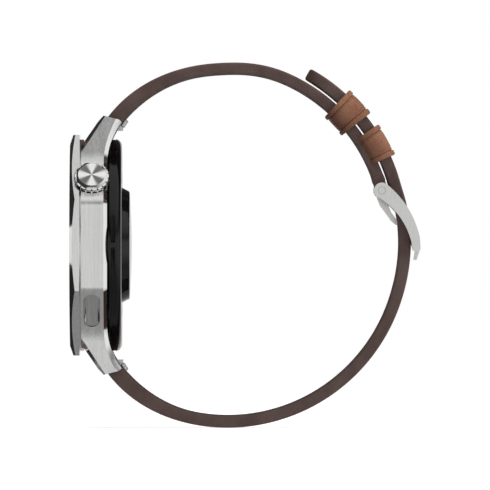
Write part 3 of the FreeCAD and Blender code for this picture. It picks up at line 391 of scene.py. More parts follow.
def makeLeather(name, look):  # corrected grain calf: pebbles, pores and bend wrinkles
    material, add = startMaterial(name)
    place = millimetres(add)
    warp = add("ShaderNodeTexNoise", {"Vector": place, "Scale": 0.9, "Detail": 2.0}).outputs["Color"]
    shifted = add("ShaderNodeVectorMath", {0: warp, 1: (0.5, 0.5, 0.5), 2: (0, 0, 0)},
                  operation="SUBTRACT").outputs[0]
    bent = add("ShaderNodeVectorMath", {0: shifted, 1: (look["pebble"] * 1.4,) * 3, 2: place},
               operation="MULTIPLY_ADD").outputs[0]
    pebbles = add("ShaderNodeTexVoronoi", {"Vector": bent, "Scale": 1 / look["pebble"], "Randomness": 0.95},
                  feature="DISTANCE_TO_EDGE").outputs["Distance"]
    domes = between(add, pebbles, 0.0, 0.35)
    pores = between(add, grain(add, place, 0.14, detail=1.0), 0.66, 0.74)
    creases = grain(add, place, 1.1, look["wrinkle"], 5.0, 0.6)
    cloud = grain(add, place, 7.0, detail=4.0)
    height = combine(add, "ADD", combine(add, "MULTIPLY", domes, look["pebbleHeight"]),
                     combine(add, "MULTIPLY", creases, look["creaseHeight"]))
    height = combine(add, "SUBTRACT", height, combine(add, "MULTIPLY", pores, 0.25))
    tone = blendColour(add, between(add, cloud, 0.3, 0.72), linear(look["dark"]), linear(look["light"]))
    tone = blendColour(add, combine(add, "MULTIPLY", between(add, pebbles, 0.10, 0.0), 0.6), tone,
                       linear(look["crack"]))
    tone = blendColour(add, combine(add, "MULTIPLY", pores, 0.5), tone, linear(look["crack"]))
    if "paintedShade" in look:  # painted shade: darker towards the wrist
        fromMiddle = add("ShaderNodeVectorMath", {0: place, 1: look["paintedShadeCentre"]},
                         operation="SUBTRACT").outputs[0]
        inPlane = add("ShaderNodeVectorMath", {0: fromMiddle, 1: (1, 0, 1)}, operation="MULTIPLY").outputs[0]
        reach = add("ShaderNodeVectorMath", {0: inPlane}, operation="LENGTH").outputs["Value"]
        shadeReach = combine(add, "ADD", reach, combine(add, "MULTIPLY", cloud, 1.2))
        tone = blendColour(add, between(add, shadeReach, look["paintedShadeFrom"], look["paintedShadeTo"]),
                           linear(look["paintedShade"]), tone)
    rough = between(add, domes, 0.0, 1.0, look["rough"] + 0.14, look["rough"])
    return finishMaterial(material, add, {"Base Color": tone, "Roughness": rough,
                                          "Normal": relief(add, height, look["depth"]),
                                             "Sheen Weight": look["sheen"], "Sheen Roughness": 0.5,
                                             "Specular IOR Level": look["gloss"]})


leatherLook = {
    "outer": {"light": "#855740", "dark": "#6c4430", "crack": "#3c2216", "pebble": 0.55, "pebbleHeight": 0.5,
              "wrinkle": (2.5, 6, 1.2),
              "creaseHeight": 0.9, "depth": 0.05, "rough": 0.50, "sheen": 0.08, "gloss": 0.4},
    "lining": {"light": "#4c3b35", "dark": "#3c2e29", "crack": "#2a1f1a", "pebble": 0.32,
               "pebbleHeight": 0.35, "wrinkle": (2.0, 8, 1.0),
               "creaseHeight": 0.9, "depth": 0.035, "rough": 0.7, "sheen": 0.0, "gloss": 0.12},
    "keeper": {"light": "#8e634b", "dark": "#754c37", "crack": "#43271a", "pebble": 0.38,
               "pebbleHeight": 0.35, "wrinkle": (1.5, 3, 1.5),
               "creaseHeight": 0.8, "depth": 0.035, "rough": 0.46, "sheen": 0.05, "gloss": 0.3,
               # painted shade on the keepers: its colour, centre and reach, darker towards the wrist
               "paintedShade": "#4c2c1b", "paintedShadeCentre": (-2.1, 0, 2.3), "paintedShadeFrom": 34.6, "paintedShadeTo": 40.2},
}


def makeEdgePaint(name, look):  # several burnished coats over the cut edge
    material, add = startMaterial(name)
    place = millimetres(add)
    cloud = grain(add, place, 4.0, detail=4.0)
    brushMarks = grain(add, place, 0.5, (4, 0.6, 4), 3.0)
    fibre = grain(add, place, 0.12, detail=2.0)
    tone = blendColour(add, between(add, cloud, 0.3, 0.7), linear(look["dark"]), linear(look["light"]))
    height = combine(add, "ADD", brushMarks, combine(add, "MULTIPLY", fibre, 0.25))
    return finishMaterial(material, add, {"Base Color": tone,
                                          "Roughness": between(add, brushMarks, 0.3, 0.7, look["rough"],
                                                               look["rough"] + 0.12),
                                             "Normal": relief(add, height, 0.02), "Specular IOR Level": 0.1})


edgeLook = {"light": "#4f413d", "dark": "#453734", "rough": 0.5}


def makeThread(name):  # waxed polyester, two plies twisted
    material, add = startMaterial(name)
    place = millimetres(add)
    split = add("ShaderNodeSeparateXYZ", {0: place})
    slant = combine(add, "ADD", combine(add, "ADD", split.outputs["X"], split.outputs["Z"]),
                    split.outputs["Y"])
    plies = wave(add, slant, 0.34)
    tone = blendColour(add, between(add, plies, -1.0, 0.6), linear("#3b2a20"), linear("#6a4f3c"))
    return finishMaterial(material, add, {"Base Color": tone, "Roughness": 0.55, "Sheen Weight": 0.2,
                                          "Normal": relief(add, plies, 0.05)})


caseSteel = makeSteel("brushed_and_polished_case_steel", steelLook["case"])
bezelSteel = makeSteel("brushed_and_polished_bezel_steel", steelLook["bezel"])
buckleSteel = makeSteel("buckle_satin_steel", steelLook["buckle"])
buttonSteel = makeSteel("button_satin_steel", steelLook["button"])
innerSteel = makeSteel("turned_inner_steel", steelLook["inner"])
crownSteel = makeCrownSteel("crown_spun_steel", crownLook)
copper = makePlainMetal("wound_copper", plainMetalLook["copper"])
foil = makePlainMetal("cell_foil", plainMetalLook["foil"])
frameAlloy = makePlainMetal("die_cast_alloy", plainMetalLook["frame"])
wovenMesh = makeWovenMesh("woven_steel_mesh")
coverBlack = makeGloss("glossy_black_cover", glossLook["cover"])
rubber = makeGloss("seal_rubber", glossLook["rubber"])
blackPlastic = makeGloss("moulded_black_plastic", glossLook["plastic"])
sensorGlass = makeSensorGlass("tinted_sensor_crystal")
sapphire = makeSapphire("sapphire_crystal")
display = makeDisplay("display_screen")
board = makeBoard("green_circuit_board")
outerLeather = makeLeather("grained_calf_leather", leatherLook["outer"])
liningLeather = makeLeather("soft_lining_leather", leatherLook["lining"])
keeperLeather = makeLeather("keeper_calf_leather", leatherLook["keeper"])
edgePaint = makeEdgePaint("burnished_edge_paint", edgeLook)
thread = makeThread("waxed_thread")
markInk = makeInk("printed_dial_marks", "#e8ecef", 0.9, 0.4)
handInk = makeInk("lit_dial_hands", "#f3f0e6", 1.1, 0.3)
accentInk = makeInk("lit_accent_hand", "#c8743c", 1.1, 0.3)
engravedInk = makeInk("engraving_lacquer", "#1b1b1c", 0.0, 0.35)
print("materials made:", len(bpy.data.materials))

nodeMaterials = {
    bezelSteel: ["bezel_ring"], caseSteel: ["mid_case"], crownSteel: ["crown_cap"],
    buttonSteel: ["button_cap"],
    buckleSteel: ["buckle_frame", "buckle_tongue", "buckle_bar"],
    innerSteel: ["back_screws", "board_shield", "haptic_motor", "microphone", "crown_tube", "crown_shaft",
                 "crown_clip", "crown_plunger",
                 "button_stem", "button_clip", "upper_bar_tube", "upper_release_tip", "upper_bar_spring",
                 "lower_bar_tube",
                 "lower_release_tip", "lower_bar_spring"],
    wovenMesh: ["speaker_mesh", "microphone_mesh"],
    sapphire: ["front_glass"], display: ["display_panel", "photodiodes"], coverBlack: ["back_cover"],
    sensorGlass: ["sensor_window"],
    rubber: ["glass_gasket", "back_gasket", "crown_seals", "button_seal"],
    blackPlastic: ["ferrite_sheet", "antenna_ring", "speaker_module", "light_baffle", "sensor_leds",
                   "crown_switch", "crown_sensor", "button_switch"],
    board: ["sensor_board", "main_board"], copper: ["charging_coil", "display_flex"], foil: ["battery"],
    frameAlloy: ["inner_frame"],
}
for material, names in nodeMaterials.items():
    for name in names:
        nodes[name].data.materials.clear()
        nodes[name].data.materials.append(material)
airGap = 0.015  # between the screen and the crystal
shrink = nodes["display_panel"].modifiers.new("air_gap", "DISPLACE")
shrink.mid_level, shrink.strength = 0.0, -airGap * mm
print("CAD nodes dressed")


def newMesh(name, points, faces, materials, faceMaterials=None, smooth=True):
    mesh = bpy.data.meshes.new(name)
    mesh.from_pydata([tuple(c * mm for c in p) for p in points], [], faces)
    for material in materials:
        mesh.materials.append(material)
    if faceMaterials:
        mesh.polygons.foreach_set("material_index", faceMaterials)
    shape = bmesh.new()
    shape.from_mesh(mesh)
    bmesh.ops.remove_doubles(shape, verts=shape.verts, dist=1e-7)
    bmesh.ops.dissolve_degenerate(shape, edges=shape.edges, dist=1e-8)
    bmesh.ops.recalc_face_normals(shape, faces=shape.faces)
    for face in shape.faces:
        face.smooth = smooth
    shape.to_mesh(mesh)
    shape.free()
    thing = bpy.data.objects.new(name, mesh)
    bpy.context.scene.collection.objects.link(thing)
    return thing


def bake(thing):
    # keeps the modifiers' result as a plain mesh
    bpy.context.view_layer.update()
    depsgraph = bpy.context.evaluated_depsgraph_get()
    mesh = bpy.data.meshes.new_from_object(thing.evaluated_get(depsgraph), depsgraph=depsgraph)
    thing.modifiers.clear()
    thing.data = mesh
    return thing


def cutAway(thing, cutters):
    for cutter in cutters:
        modifier = thing.modifiers.new("cut", "BOOLEAN")
        modifier.operation, modifier.solver, modifier.object = "DIFFERENCE", "EXACT", cutter
        modifier.material_mode = "TRANSFER"
    bake(thing)
    for cutter in cutters:
        bpy.data.objects.remove(cutter)


def sharpen(thing, degrees=32):
    thing.data.set_sharp_from_angle(angle=math.radians(degrees))


def smoothStep(low, high, value):
    t = min(max((value - low) / (high - low), 0.0), 1.0)
    return t * t * (3 - 2 * t)


strapShape = {
    "loopRadius": 37.1, "innerLayer": 35.75, "outerLayer": 38.7, "overlapMiddle": (-2.1, 2.3),
    "upperEnds": (19.54, 135.7), "lowerEnds": (-135.7, 65.0),
    "wideHalf": 10.9, "slimHalf": 9.8, "wideUntil": -18.0, "slimFrom": 8.0,
    "buckleLoop": 1.6, "lugLoop": 1.65, "cornerRadius": 0.52, "tipLength": 6.5,
    "stitchInset": 1.95, "stitchGroove": 0.14, "threadSink": 0.13, "crown": 0.10,
    "upperHalf": 1.25, "lowerHalf": 1.3, "lugThickening": 0.35,
    "lugDrop": 2.17, "lugFrom": 100, "lugSpan": 35.7, "upperJoin": (66, 94), "lowerJoin": (14, 24),
    "lift": 0.25,
}


def overlapRadius(layer, degrees):
    a = math.radians(degrees)
    ox, oz = strapShape["overlapMiddle"]
    along, across = ox * math.cos(a) + oz * math.sin(a), ox * math.sin(a) - oz * math.cos(a)
    return along + math.sqrt(layer ** 2 - across ** 2)


def lugDrop(degrees):
    # both halves dip towards their spring bars
    return strapShape["lugDrop"] * (max(0.0, (degrees - strapShape["lugFrom"]) / strapShape["lugSpan"])) ** 2


def upperMiddle(degrees):
    joinStart, joinEnd = strapShape["upperJoin"]
    s = smoothStep(joinStart, joinEnd, degrees)
    inner = overlapRadius(strapShape["innerLayer"], min(degrees, joinEnd))
    return (1 - s) * inner + s * strapShape["loopRadius"] - lugDrop(degrees)


def lowerMiddle(degrees):
    joinStart, joinEnd = strapShape["lowerJoin"]
    s = smoothStep(joinStart, joinEnd, degrees)
    lifted = strapShape["loopRadius"] + strapShape["lift"] * smoothStep(-20, 12, degrees)
    outer = overlapRadius(strapShape["outerLayer"], max(degrees, 12))
    return (1 - s) * lifted + s * outer - lugDrop(-degrees)


def onPath(middle, degrees):
    radius = middle(degrees)
    return Vector((radius * math.cos(math.radians(degrees)), 0, radius * math.sin(math.radians(degrees))))


def pathPoint(middle, degrees):
    # a place on the strap's middle line and the direction the strap runs there
    here = onPath(middle, degrees)
    return here, (onPath(middle, degrees + 0.05) - here).normalized()


def awayFromWrist(here, tangent):
    outward = Vector((tangent.z, 0, -tangent.x))
    return -outward if outward.dot(here) < 0 else outward


def halfWidthAt(x):
    t = min(max((x - strapShape["wideUntil"]) / (strapShape["slimFrom"] - strapShape["wideUntil"]), 0), 1)
    return strapShape["wideHalf"] + t * (strapShape["slimHalf"] - strapShape["wideHalf"])


def halfThickness(thin, degrees):
    return thin + strapShape["lugThickening"] * smoothStep(100, 130, abs(degrees))


def strapStations(middle, thin, ends, startLoop, endLoop):
    # each station: place, direction, half the thickness, distance left to the pointed tip
    # extra stations past a bar make the loop round it, and a strap without an end loop has a tip
    first, last = ends
    tipLength = strapShape["tipLength"]
    count = int(abs(last - first) * 0.82)
    stations = []
    for step in range(count + 1):
        degrees = first + (last - first) * step / count
        here, tangent = pathPoint(middle, degrees)
        stations.append([here, tangent, halfThickness(thin, degrees), None])
    if endLoop is None:
        arc = [0.0]
        for a, b in zip(stations, stations[1:]):
            arc.append(arc[-1] + (b[0] - a[0]).length)
        stations = [s for s, d in zip(stations, arc) if arc[-1] - d > tipLength + 0.05]
        radius = onPath(middle, last).length
        for step in range(1, 17):
            left = tipLength * (1 - math.sin(math.pi / 2 * step / 16))
            here, tangent = pathPoint(middle, last - math.degrees(left / radius))
            stations.append([here, tangent, thin, left])
    for index, radius, sign in ((0, startLoop, -1), (-1, endLoop, 1)):
        if radius is None:
            continue
        centre, tangent = stations[index][0].copy(), stations[index][1].copy()
        for station in stations:
            reach = (station[0] - centre).length
            if reach < radius:
                station[2] = max(station[2], math.sqrt(radius ** 2 - reach ** 2))
            elif reach < radius * 2.4:  # the fold eases into the flat strap
                station[2] = max(station[2], thin + 0.15 * (1 - smoothStep(radius, radius * 2.4, reach)))
        ends = []
        for step in range(1, 13):
            turn = math.pi / 2 * step / 12
            ends.append([centre + tangent * sign * radius * math.sin(turn), tangent, radius * math.cos(turn),
                         None])
        stations = (list(reversed(ends)) + stations) if sign < 0 else (stations + ends)
    return stations


def strapSection(halfWidth, half, corner):
    # closed outline from the outer face round to the lining: (y, t, material index)
    # the steps across are closer together at the stitch groove
    across = [0, 0.3, 0.6, 0.9, 1.1, 1.25, 1.4, 1.55, 1.7, 1.9, 2.2, 2.8, 3.8, 5.2, 7.0, 9.0]
    reach = halfWidth - corner
    nominal = strapShape["slimHalf"]
    left = [-reach * (1 - d / nominal) for d in across]
    ys = left + [-y for y in reversed(left)]
    groove = strapShape["stitchInset"] - strapShape["cornerRadius"]
    outline = []

    def roundCorner(sideways, height, start):
        for step in range(7):
            turn = start - math.pi / 2 * step / 6
            outline.append((sideways + corner * math.cos(turn), height + corner * math.sin(turn), 1))

    softness = min(half / 1.2, 1.0) * min(halfWidth / 5.0, 1.0)
    for y in ys:
        inset = (reach - abs(y)) * (nominal / max(reach, 0.001))
        dip = strapShape["stitchGroove"] * math.exp(-((inset - groove) / 0.3) ** 2)
        fall = strapShape["crown"] * (abs(y) / max(reach, 0.001)) ** 4
        outline.append((y, half - (dip + fall) * softness, 0))
    top = half - strapShape["crown"] * softness
    roundCorner(reach, top - corner, math.pi / 2)
    roundCorner(reach, -half + corner, 0.0)
    outline += [(y, -half, 2) for y in reversed(ys)]
    roundCorner(-reach, -half + corner, -math.pi / 2)
    roundCorner(-reach, top - corner, math.pi)
    return outline


def buildStrap(name, stations):
    points, faces, indices = [], [], []
    edge = strapShape["cornerRadius"]
    for centre, tangent, half, left in stations:
        halfWidth = halfWidthAt(centre.x)
        if left is not None:
            ratio = 1 - left / strapShape["tipLength"]
            halfWidth *= math.sqrt(max(0.0, 1 - ratio ** 2))
            if left < edge:
                half += -edge + math.sqrt(max(0.0, edge ** 2 - (edge - left) ** 2))
        corner = max(min(edge, 0.8 * half, 0.95 * halfWidth), 0.0)
        outward = awayFromWrist(centre, tangent)
        outline = strapSection(halfWidth, half, corner)
        points += [centre + outward * t + Vector((0, y, 0)) for y, t, kind in outline]
    kinds = [kind for y, t, kind in outline]
    size = len(kinds)
    for i in range(len(stations) - 1):
        for j in range(size):
            k = (j + 1) % size
            faces.append((i * size + j, i * size + k, (i + 1) * size + k, (i + 1) * size + j))
            indices.append(1 if 1 in (kinds[j], kinds[k]) else kinds[j])
    return newMesh(name, points, faces, [outerLeather, edgePaint, liningLeather], indices)


def stackedFaces(levels, side):
    # joins rings of `side` points, one beyond the other, and closes both ends
    faces = []
    for level in range(levels - 1):
        here, beyond = level * side, (level + 1) * side
        for step in range(side):
            k = (step + 1) % side
            faces.append((here + step, here + k, beyond + k, beyond + step))
    return faces + [tuple(range(side)), tuple(range((levels - 1) * side, levels * side))]


holeLook = {"first": 7.0, "pitch": 9.5, "length": 4.1, "width": 2.35, "flare": 0.12}


def holeCutter(number):
    # a rounded slot through the tail, a little wider where it opens on either side
    here, tangent = pathPoint(lowerMiddle, holeLook["first"] + holeLook["pitch"] * number)
    outward = here.normalized()
    width, flare = holeLook["width"], holeLook["flare"]
    straight = (holeLook["length"] - width) / 2
    levels = [(-2.2, flare + 0.4), (-1.2, flare + 0.05), (-0.7, 0.0), (0.9, 0.0), (1.3, flare),
              (2.2, flare + 0.3)]
    points = []
    side = 40
    for depth, grow in levels:
        for step in range(side):
            turn = 2 * math.pi * step / side
            r = width / 2 + grow
            a = r * math.cos(turn) + (straight if math.cos(turn) > 0 else -straight)
            points.append(here + outward * depth + tangent * a + Vector((0, r * math.sin(turn), 0)))
    return newMesh("tail_hole", points, stackedFaces(len(levels), side), [edgePaint])


def rodCutter(name, x, z, radius, reach):
    side = 48
    turns = [2 * math.pi * s / side for s in range(side)]
    points = [(x + radius * math.cos(turn), y, z + radius * math.sin(turn)) for y in (-reach,
        reach) for turn in turns]
    return newMesh(name, points, stackedFaces(2, side), [edgePaint])


def boxCutter(name, low, high):
    points = [(x, y, z) for x in (low[0], high[0]) for y in (low[1], high[1]) for z in (low[2], high[2])]
    faces = [(0, 1, 3, 2), (4, 6, 7, 5), (0, 4, 5, 1), (2, 3, 7, 6), (0, 2, 6, 4), (1, 5, 7, 3)]
    return newMesh(name, points, faces, [edgePaint])


cutLook = {
    "springBar": {"x": -25.0, "z": 24.4, "radius": 0.95}, "buckleBar": {"x": 32.4, "z": 11.5, "radius": 0.78},
    "reach": 13,
    "leverSlot": {"x": (-25.0, -19.0), "y": (-8.4, -4.2), "z": (23.3, 26.7)},
    "tongueNotch": {"low": (29.8, -1.7, 9.1), "high": (35.0, 1.7, 14.7)},
}


def barCutters(side):
    # side is 1 at 12 o'clock and -1 at 6 o'clock
    bar, slot = cutLook["springBar"], cutLook["leverSlot"]
    lowZ, highZ = sorted(side * z for z in slot["z"])
    return [rodCutter("bar_bore", bar["x"], side * bar["z"], bar["radius"], cutLook["reach"]),
            boxCutter("lever_slot", (slot["x"][0], slot["y"][0], lowZ), (slot["x"][1], slot["y"][1], highZ))]


upperStrap = buildStrap("upper_strap_leather", strapStations(
    upperMiddle, strapShape["upperHalf"], strapShape["upperEnds"], strapShape["buckleLoop"],
    strapShape["lugLoop"]))
lowerStrap = buildStrap("lower_strap_leather", strapStations(
    lowerMiddle, strapShape["lowerHalf"], strapShape["lowerEnds"], strapShape["lugLoop"], None))
bar, notch = cutLook["buckleBar"], cutLook["tongueNotch"]
barBore, leverSlot = barCutters(1)
cutAway(upperStrap, [barBore, rodCutter("buckle_bore", bar["x"], bar["z"], bar["radius"], cutLook["reach"]),
                     leverSlot, boxCutter("tongue_notch", notch["low"], notch["high"])])
cutAway(lowerStrap, barCutters(-1) + [holeCutter(number) for number in range(-3, 4)])
print("straps built:", len(upperStrap.data.polygons), len(lowerStrap.data.polygons))


threadLook = {"Pitch": 2.6, "Stitch Length": 1.9, "Thread Radius": 0.17, "Rise": 0.14}  # millimetres


def stitchTree():
    tree = bpy.data.node_groups.new("stitch_rows", "GeometryNodeTree")
    face = tree.interface
    face.new_socket("Geometry", in_out="INPUT", socket_type="NodeSocketGeometry")
    face.new_socket("Geometry", in_out="OUTPUT", socket_type="NodeSocketGeometry")
    for socketName, value in threadLook.items():
        socket = face.new_socket(socketName, in_out="INPUT", socket_type="NodeSocketFloat")
        socket.default_value = value * mm
    face.new_socket("Thread", in_out="INPUT", socket_type="NodeSocketMaterial")
    add = partial(addNode, tree)
    source = add("NodeGroupInput").outputs
    path = add("GeometryNodeMeshToCurve", {"Mesh": source["Geometry"]})
    spaced = add("GeometryNodeResampleCurve", {"Curve": path.outputs[0], "Length": source["Pitch"]},
                 mode="LENGTH")
    spot = add("GeometryNodeInputPosition").outputs[0]
    outward = add("ShaderNodeVectorMath", {0: spot, 1: (1, 0, 1)}, operation="MULTIPLY").outputs[0]
    tangent = add("GeometryNodeInputTangent").outputs[0]
    swing = add("FunctionNodeRandomValue", {"Min": (-0.06, -0.06, -0.10), "Max": (0.06, 0.06, 0.10),
                                            "Seed": 7}, data_type="FLOAT_VECTOR").outputs[0]
    wandering = add("ShaderNodeVectorMath", {0: tangent, 1: swing}, operation="ADD").outputs[0]
    first = add("FunctionNodeAlignRotationToVector", {"Vector": outward}, axis="Z")
    turned = add("FunctionNodeAlignRotationToVector", {"Rotation": first.outputs[0], "Vector": wandering},
                 axis="X", pivot_axis="Z")
    halfLength = combine(add, "MULTIPLY", source["Stitch Length"], 0.5)
    back = combine(add, "MULTIPLY", halfLength, -1.0)
    sink = combine(add, "MULTIPLY", source["Rise"], -2.2)
    crest = combine(add, "MULTIPLY", source["Rise"], 2.6)
    start = add("ShaderNodeCombineXYZ", {"X": back, "Z": sink}).outputs[0]
    top = add("ShaderNodeCombineXYZ", {"Z": crest}).outputs[0]
    end = add("ShaderNodeCombineXYZ", {"X": halfLength, "Z": sink}).outputs[0]
    arch = add("GeometryNodeCurveQuadraticBezier",
               {"Resolution": 8, "Start": start, "Middle": top, "End": end})
    ring = add("GeometryNodeCurvePrimitiveCircle", {"Resolution": 8, "Radius": source["Thread Radius"]})
    tube = add("GeometryNodeCurveToMesh", {"Curve": arch.outputs[0], "Profile Curve": ring.outputs[0],
                                           "Fill Caps": True})
    shaded = add("GeometryNodeSetShadeSmooth", {"Geometry": tube.outputs[0]})
    copies = add("GeometryNodeInstanceOnPoints",
                 {"Points": spaced.outputs[0], "Instance": shaded.outputs[0], "Rotation": turned.outputs[0]})
    real = add("GeometryNodeRealizeInstances", {"Geometry": copies.outputs[0]})
    dressed = add("GeometryNodeSetMaterial", {"Geometry": real.outputs[0], "Material": source["Thread"]})
    add("NodeGroupOutput", {"Geometry": dressed.outputs[0]})
    return tree


def runTree(name, tree, points, edges, values):
    mesh = bpy.data.meshes.new(name)
    mesh.from_pydata([tuple(c * mm for c in p) for p in points], edges, [])
    thing = bpy.data.objects.new(name, mesh)
    bpy.context.scene.collection.objects.link(thing)
    modifier = thing.modifiers.new("pattern", "NODES")
    modifier.node_group = tree
    for item in tree.interface.items_tree:
        if item.item_type == "SOCKET" and item.in_out == "INPUT" and item.name in values:
            modifier[item.identifier] = values[item.name]
    return bake(thing)


def stitchLine(middle, thin, first, last, side):
    points = []
    count = int(abs(last - first))
    depth = strapShape["stitchGroove"] + strapShape["threadSink"]
    for step in range(count + 1):
        degrees = first + (last - first) * step / count
        here, tangent = pathPoint(middle, degrees)
        y = side * (halfWidthAt(here.x) - strapShape["stitchInset"])
        outward = awayFromWrist(here, tangent)
        points.append(here + outward * (halfThickness(thin, degrees) - depth) + Vector((0, y, 0)))
    return points


stitches = stitchTree()
stitchRows = {
    "upper_strap_stitches": (upperMiddle, strapShape["upperHalf"], 27.0, 129.0),
    "lower_strap_stitches": (lowerMiddle, strapShape["lowerHalf"], -129.0, 56.0),
}
stitchObjects = []
for name, (middle, thin, first, last) in stitchRows.items():
    points, edges = [], []
    for side in (-1, 1):
        row = stitchLine(middle, thin, first, last, side)
        edges += [(len(points) + i, len(points) + i + 1) for i in range(len(row) - 1)]
        points += row
    stitchObjects.append(runTree(name, stitches, points, edges, {"Thread": thread}))
print("stitches sewn:", [len(o.data.polygons) for o in stitchObjects])


keeperShape = {
    "free": {"angle": 43.0, "half": 2.98, "inner": (34.35, 40.15), "sideInner": 10.1, "wall": 0.80,
             "band": 1.10},
    "fixed": {"angle": 29.3, "half": 3.3, "inner": (36.2, 40.1), "sideInner": 9.9, "wall": 0.72,
              "band": 1.05},
}
keeperRelief = {"rim": 0.16, "crease": 0.24, "innerCrease": 0.10, "rounding": 0.28, "swell": 0.42,
                "bendRadius": 37.2}


def bandProfile(look):
    # offset outward against distance along the strap: raised rims, pressed crease, domed middle
    half, wall, band = look["half"], look["wall"], look["band"]
    corner = keeperRelief["rounding"]
    profile = []
    steps = 56
    for step in range(steps + 1):
        s = -half + 2 * half * step / steps
        edge = half - abs(s)
        rim = keeperRelief["rim"] * (1 - smoothStep(band - 0.15, band + 0.12, edge))
        crease = keeperRelief["crease"] * math.exp(-((edge - band - 0.04) / 0.13) ** 2)
        crease += keeperRelief["innerCrease"] * math.exp(-((edge - band - 0.50) / 0.12) ** 2)
        roundOver = corner - math.sqrt(max(0.0, corner ** 2 - (corner - edge) ** 2)) if edge < corner else 0.0
        profile.append((s, wall + rim - crease - roundOver))
    return profile


def buildKeeper(name, look):
    middleX, middleZ = strapShape["overlapMiddle"]
    low, high = look["inner"]
    halfHigh, halfSide = (high - low) / 2, look["sideInner"]
    mid = (low + high) / 2
    corner = 1.0
    corners = ((1, 1), (-1, 1), (-1, -1), (1, -1))
    flatNormals = ((0, 1), (-1, 0), (0, -1), (1, 0))
    loop = []
    for index, (sy, sr) in enumerate(corners):
        for step in range(9):
            turn = math.pi / 2 * (index + step / 8)
            normal = (math.cos(turn), math.sin(turn))
            loop.append(((sy * (halfSide - corner) + corner * normal[0],
                          sr * (halfHigh - corner) + corner * normal[1]), normal))
        acrossStrap = index in (0, 2)  # the flat that follows this corner is split so it can swell
        nextY, nextR = corners[(index + 1) % 4]
        y0, r0 = loop[-1][0]
        y1 = nextY * (halfSide - corner if acrossStrap else halfSide)
        r1 = nextR * (halfHigh if acrossStrap else halfHigh - corner)
        spread = 18 if acrossStrap else 9
        for step in range(1, spread):
            t = step / spread
            loop.append(((y0 + (y1 - y0) * t, r0 + (r1 - r0) * t), flatNormals[index]))
    outer = bandProfile(look)
    sections = [(s, o, True) for s, o in outer] + [(s, 0.0, False) for s, o in reversed(outer)]
    points, faces = [], []
    for (y, r), normal in loop:
        onSide = abs(normal[0]) > 0.9
        swell = keeperRelief["swell"] * math.cos(math.pi / 2 * min(1.0, abs(r) / halfHigh)) if onSide else 0.0
        for s, offset, isOuter in sections:
            push = offset + (swell if isOuter else 0.0)
            yy, rr = y + normal[0] * push, mid + r + normal[1] * push
            turn = math.radians(look["angle"]) + s / keeperRelief["bendRadius"]
            points.append((middleX + rr * math.cos(turn), yy, middleZ + rr * math.sin(turn)))
    ringCount, size = len(loop), len(sections)
    for i in range(ringCount):
        n = (i + 1) % ringCount
        for j in range(size):
            k = (j + 1) % size
            faces.append((i * size + j, n * size + j, n * size + k, i * size + k))
    return newMesh(name, points, faces, [keeperLeather])


freeKeeper = buildKeeper("free_keeper_leather", keeperShape["free"])
fixedKeeper = buildKeeper("fixed_keeper_leather", keeperShape["fixed"])
print("keepers built:", len(freeKeeper.data.polygons), len(fixedKeeper.data.polygons))


def markTree():
    tree = bpy.data.node_groups.new("ring_of_marks", "GeometryNodeTree")
    face = tree.interface
    face.new_socket("Geometry", in_out="INPUT", socket_type="NodeSocketGeometry")
    face.new_socket("Geometry", in_out="OUTPUT", socket_type="NodeSocketGeometry")
    for socketName, kind in (("Count", "NodeSocketInt"), ("Every", "NodeSocketInt"),
                             ("Radius", "NodeSocketFloat"), ("Height", "NodeSocketFloat"),
                             ("Length", "NodeSocketFloat"), ("Width", "NodeSocketFloat"),
                             ("Depth", "NodeSocketFloat"), ("Ink", "NodeSocketMaterial")):
        face.new_socket(socketName, in_out="INPUT", socket_type=kind)
    add = partial(addNode, tree)
    source = add("NodeGroupInput").outputs
    index = add("GeometryNodeInputIndex").outputs[0]
    angle = combine(add, "MULTIPLY", combine(add, "DIVIDE", index, source["Count"]), 2 * math.pi)
    sine = add("ShaderNodeMath", {0: angle}, operation="SINE").outputs[0]
    cosine = add("ShaderNodeMath", {0: angle}, operation="COSINE").outputs[0]
    z = combine(add, "MULTIPLY", cosine, source["Radius"])
    minusY = combine(add, "MULTIPLY", combine(add, "MULTIPLY", sine, source["Radius"]), -1.0)
    place = add("ShaderNodeCombineXYZ", {"X": source["Height"], "Y": minusY, "Z": z}).outputs[0]
    points = add("GeometryNodePoints", {"Count": source["Count"], "Position": place})
    bar = add("ShaderNodeCombineXYZ", {"X": source["Depth"], "Y": source["Width"],
                                       "Z": source["Length"]}).outputs[0]
    block = add("GeometryNodeMeshCube", {"Size": bar})
    turn = add("ShaderNodeCombineXYZ", {"X": angle}).outputs[0]
    isLong = combine(add, "LESS_THAN", combine(add, "MODULO", index, source["Every"]), 0.5)
    stretch = add("ShaderNodeMath", {0: isLong, 1: 0.9, 2: 1.0}, operation="MULTIPLY_ADD").outputs[0]
    scale = add("ShaderNodeCombineXYZ", {"X": 1.0, "Y": stretch, "Z": stretch}).outputs[0]
    copies = add("GeometryNodeInstanceOnPoints",
                 {"Points": points.outputs[0], "Instance": block.outputs[0], "Rotation": turn,
                  "Scale": scale})
    real = add("GeometryNodeRealizeInstances", {"Geometry": copies.outputs[0]})
    dressed = add("GeometryNodeSetMaterial", {"Geometry": real.outputs[0], "Material": source["Ink"]})
    add("NodeGroupOutput", {"Geometry": dressed.outputs[0]})
    return tree


marks = markTree()
bezelMarkLook = {"Count": 60, "Every": 5, "Radius": 20.95 * mm, "Height": -33.1 * mm, "Length": 0.62 * mm,
                 "Width": 0.13 * mm, "Depth": 0.03 * mm, "Ink": engravedInk}
dialMarkLook = {"Count": 60, "Every": 5, "Radius": 16.2 * mm, "Height": -31.37 * mm, "Length": 0.9 * mm,
                "Width": 0.14 * mm, "Depth": 0.03 * mm, "Ink": markInk}
bezelMarks = runTree("bezel_minute_marks", marks, [(-33.1, 0, 20)], [], bezelMarkLook)
dialMarks = runTree("dial_minute_marks", marks, [(-31.4, 0, 16)], [], dialMarkLook)


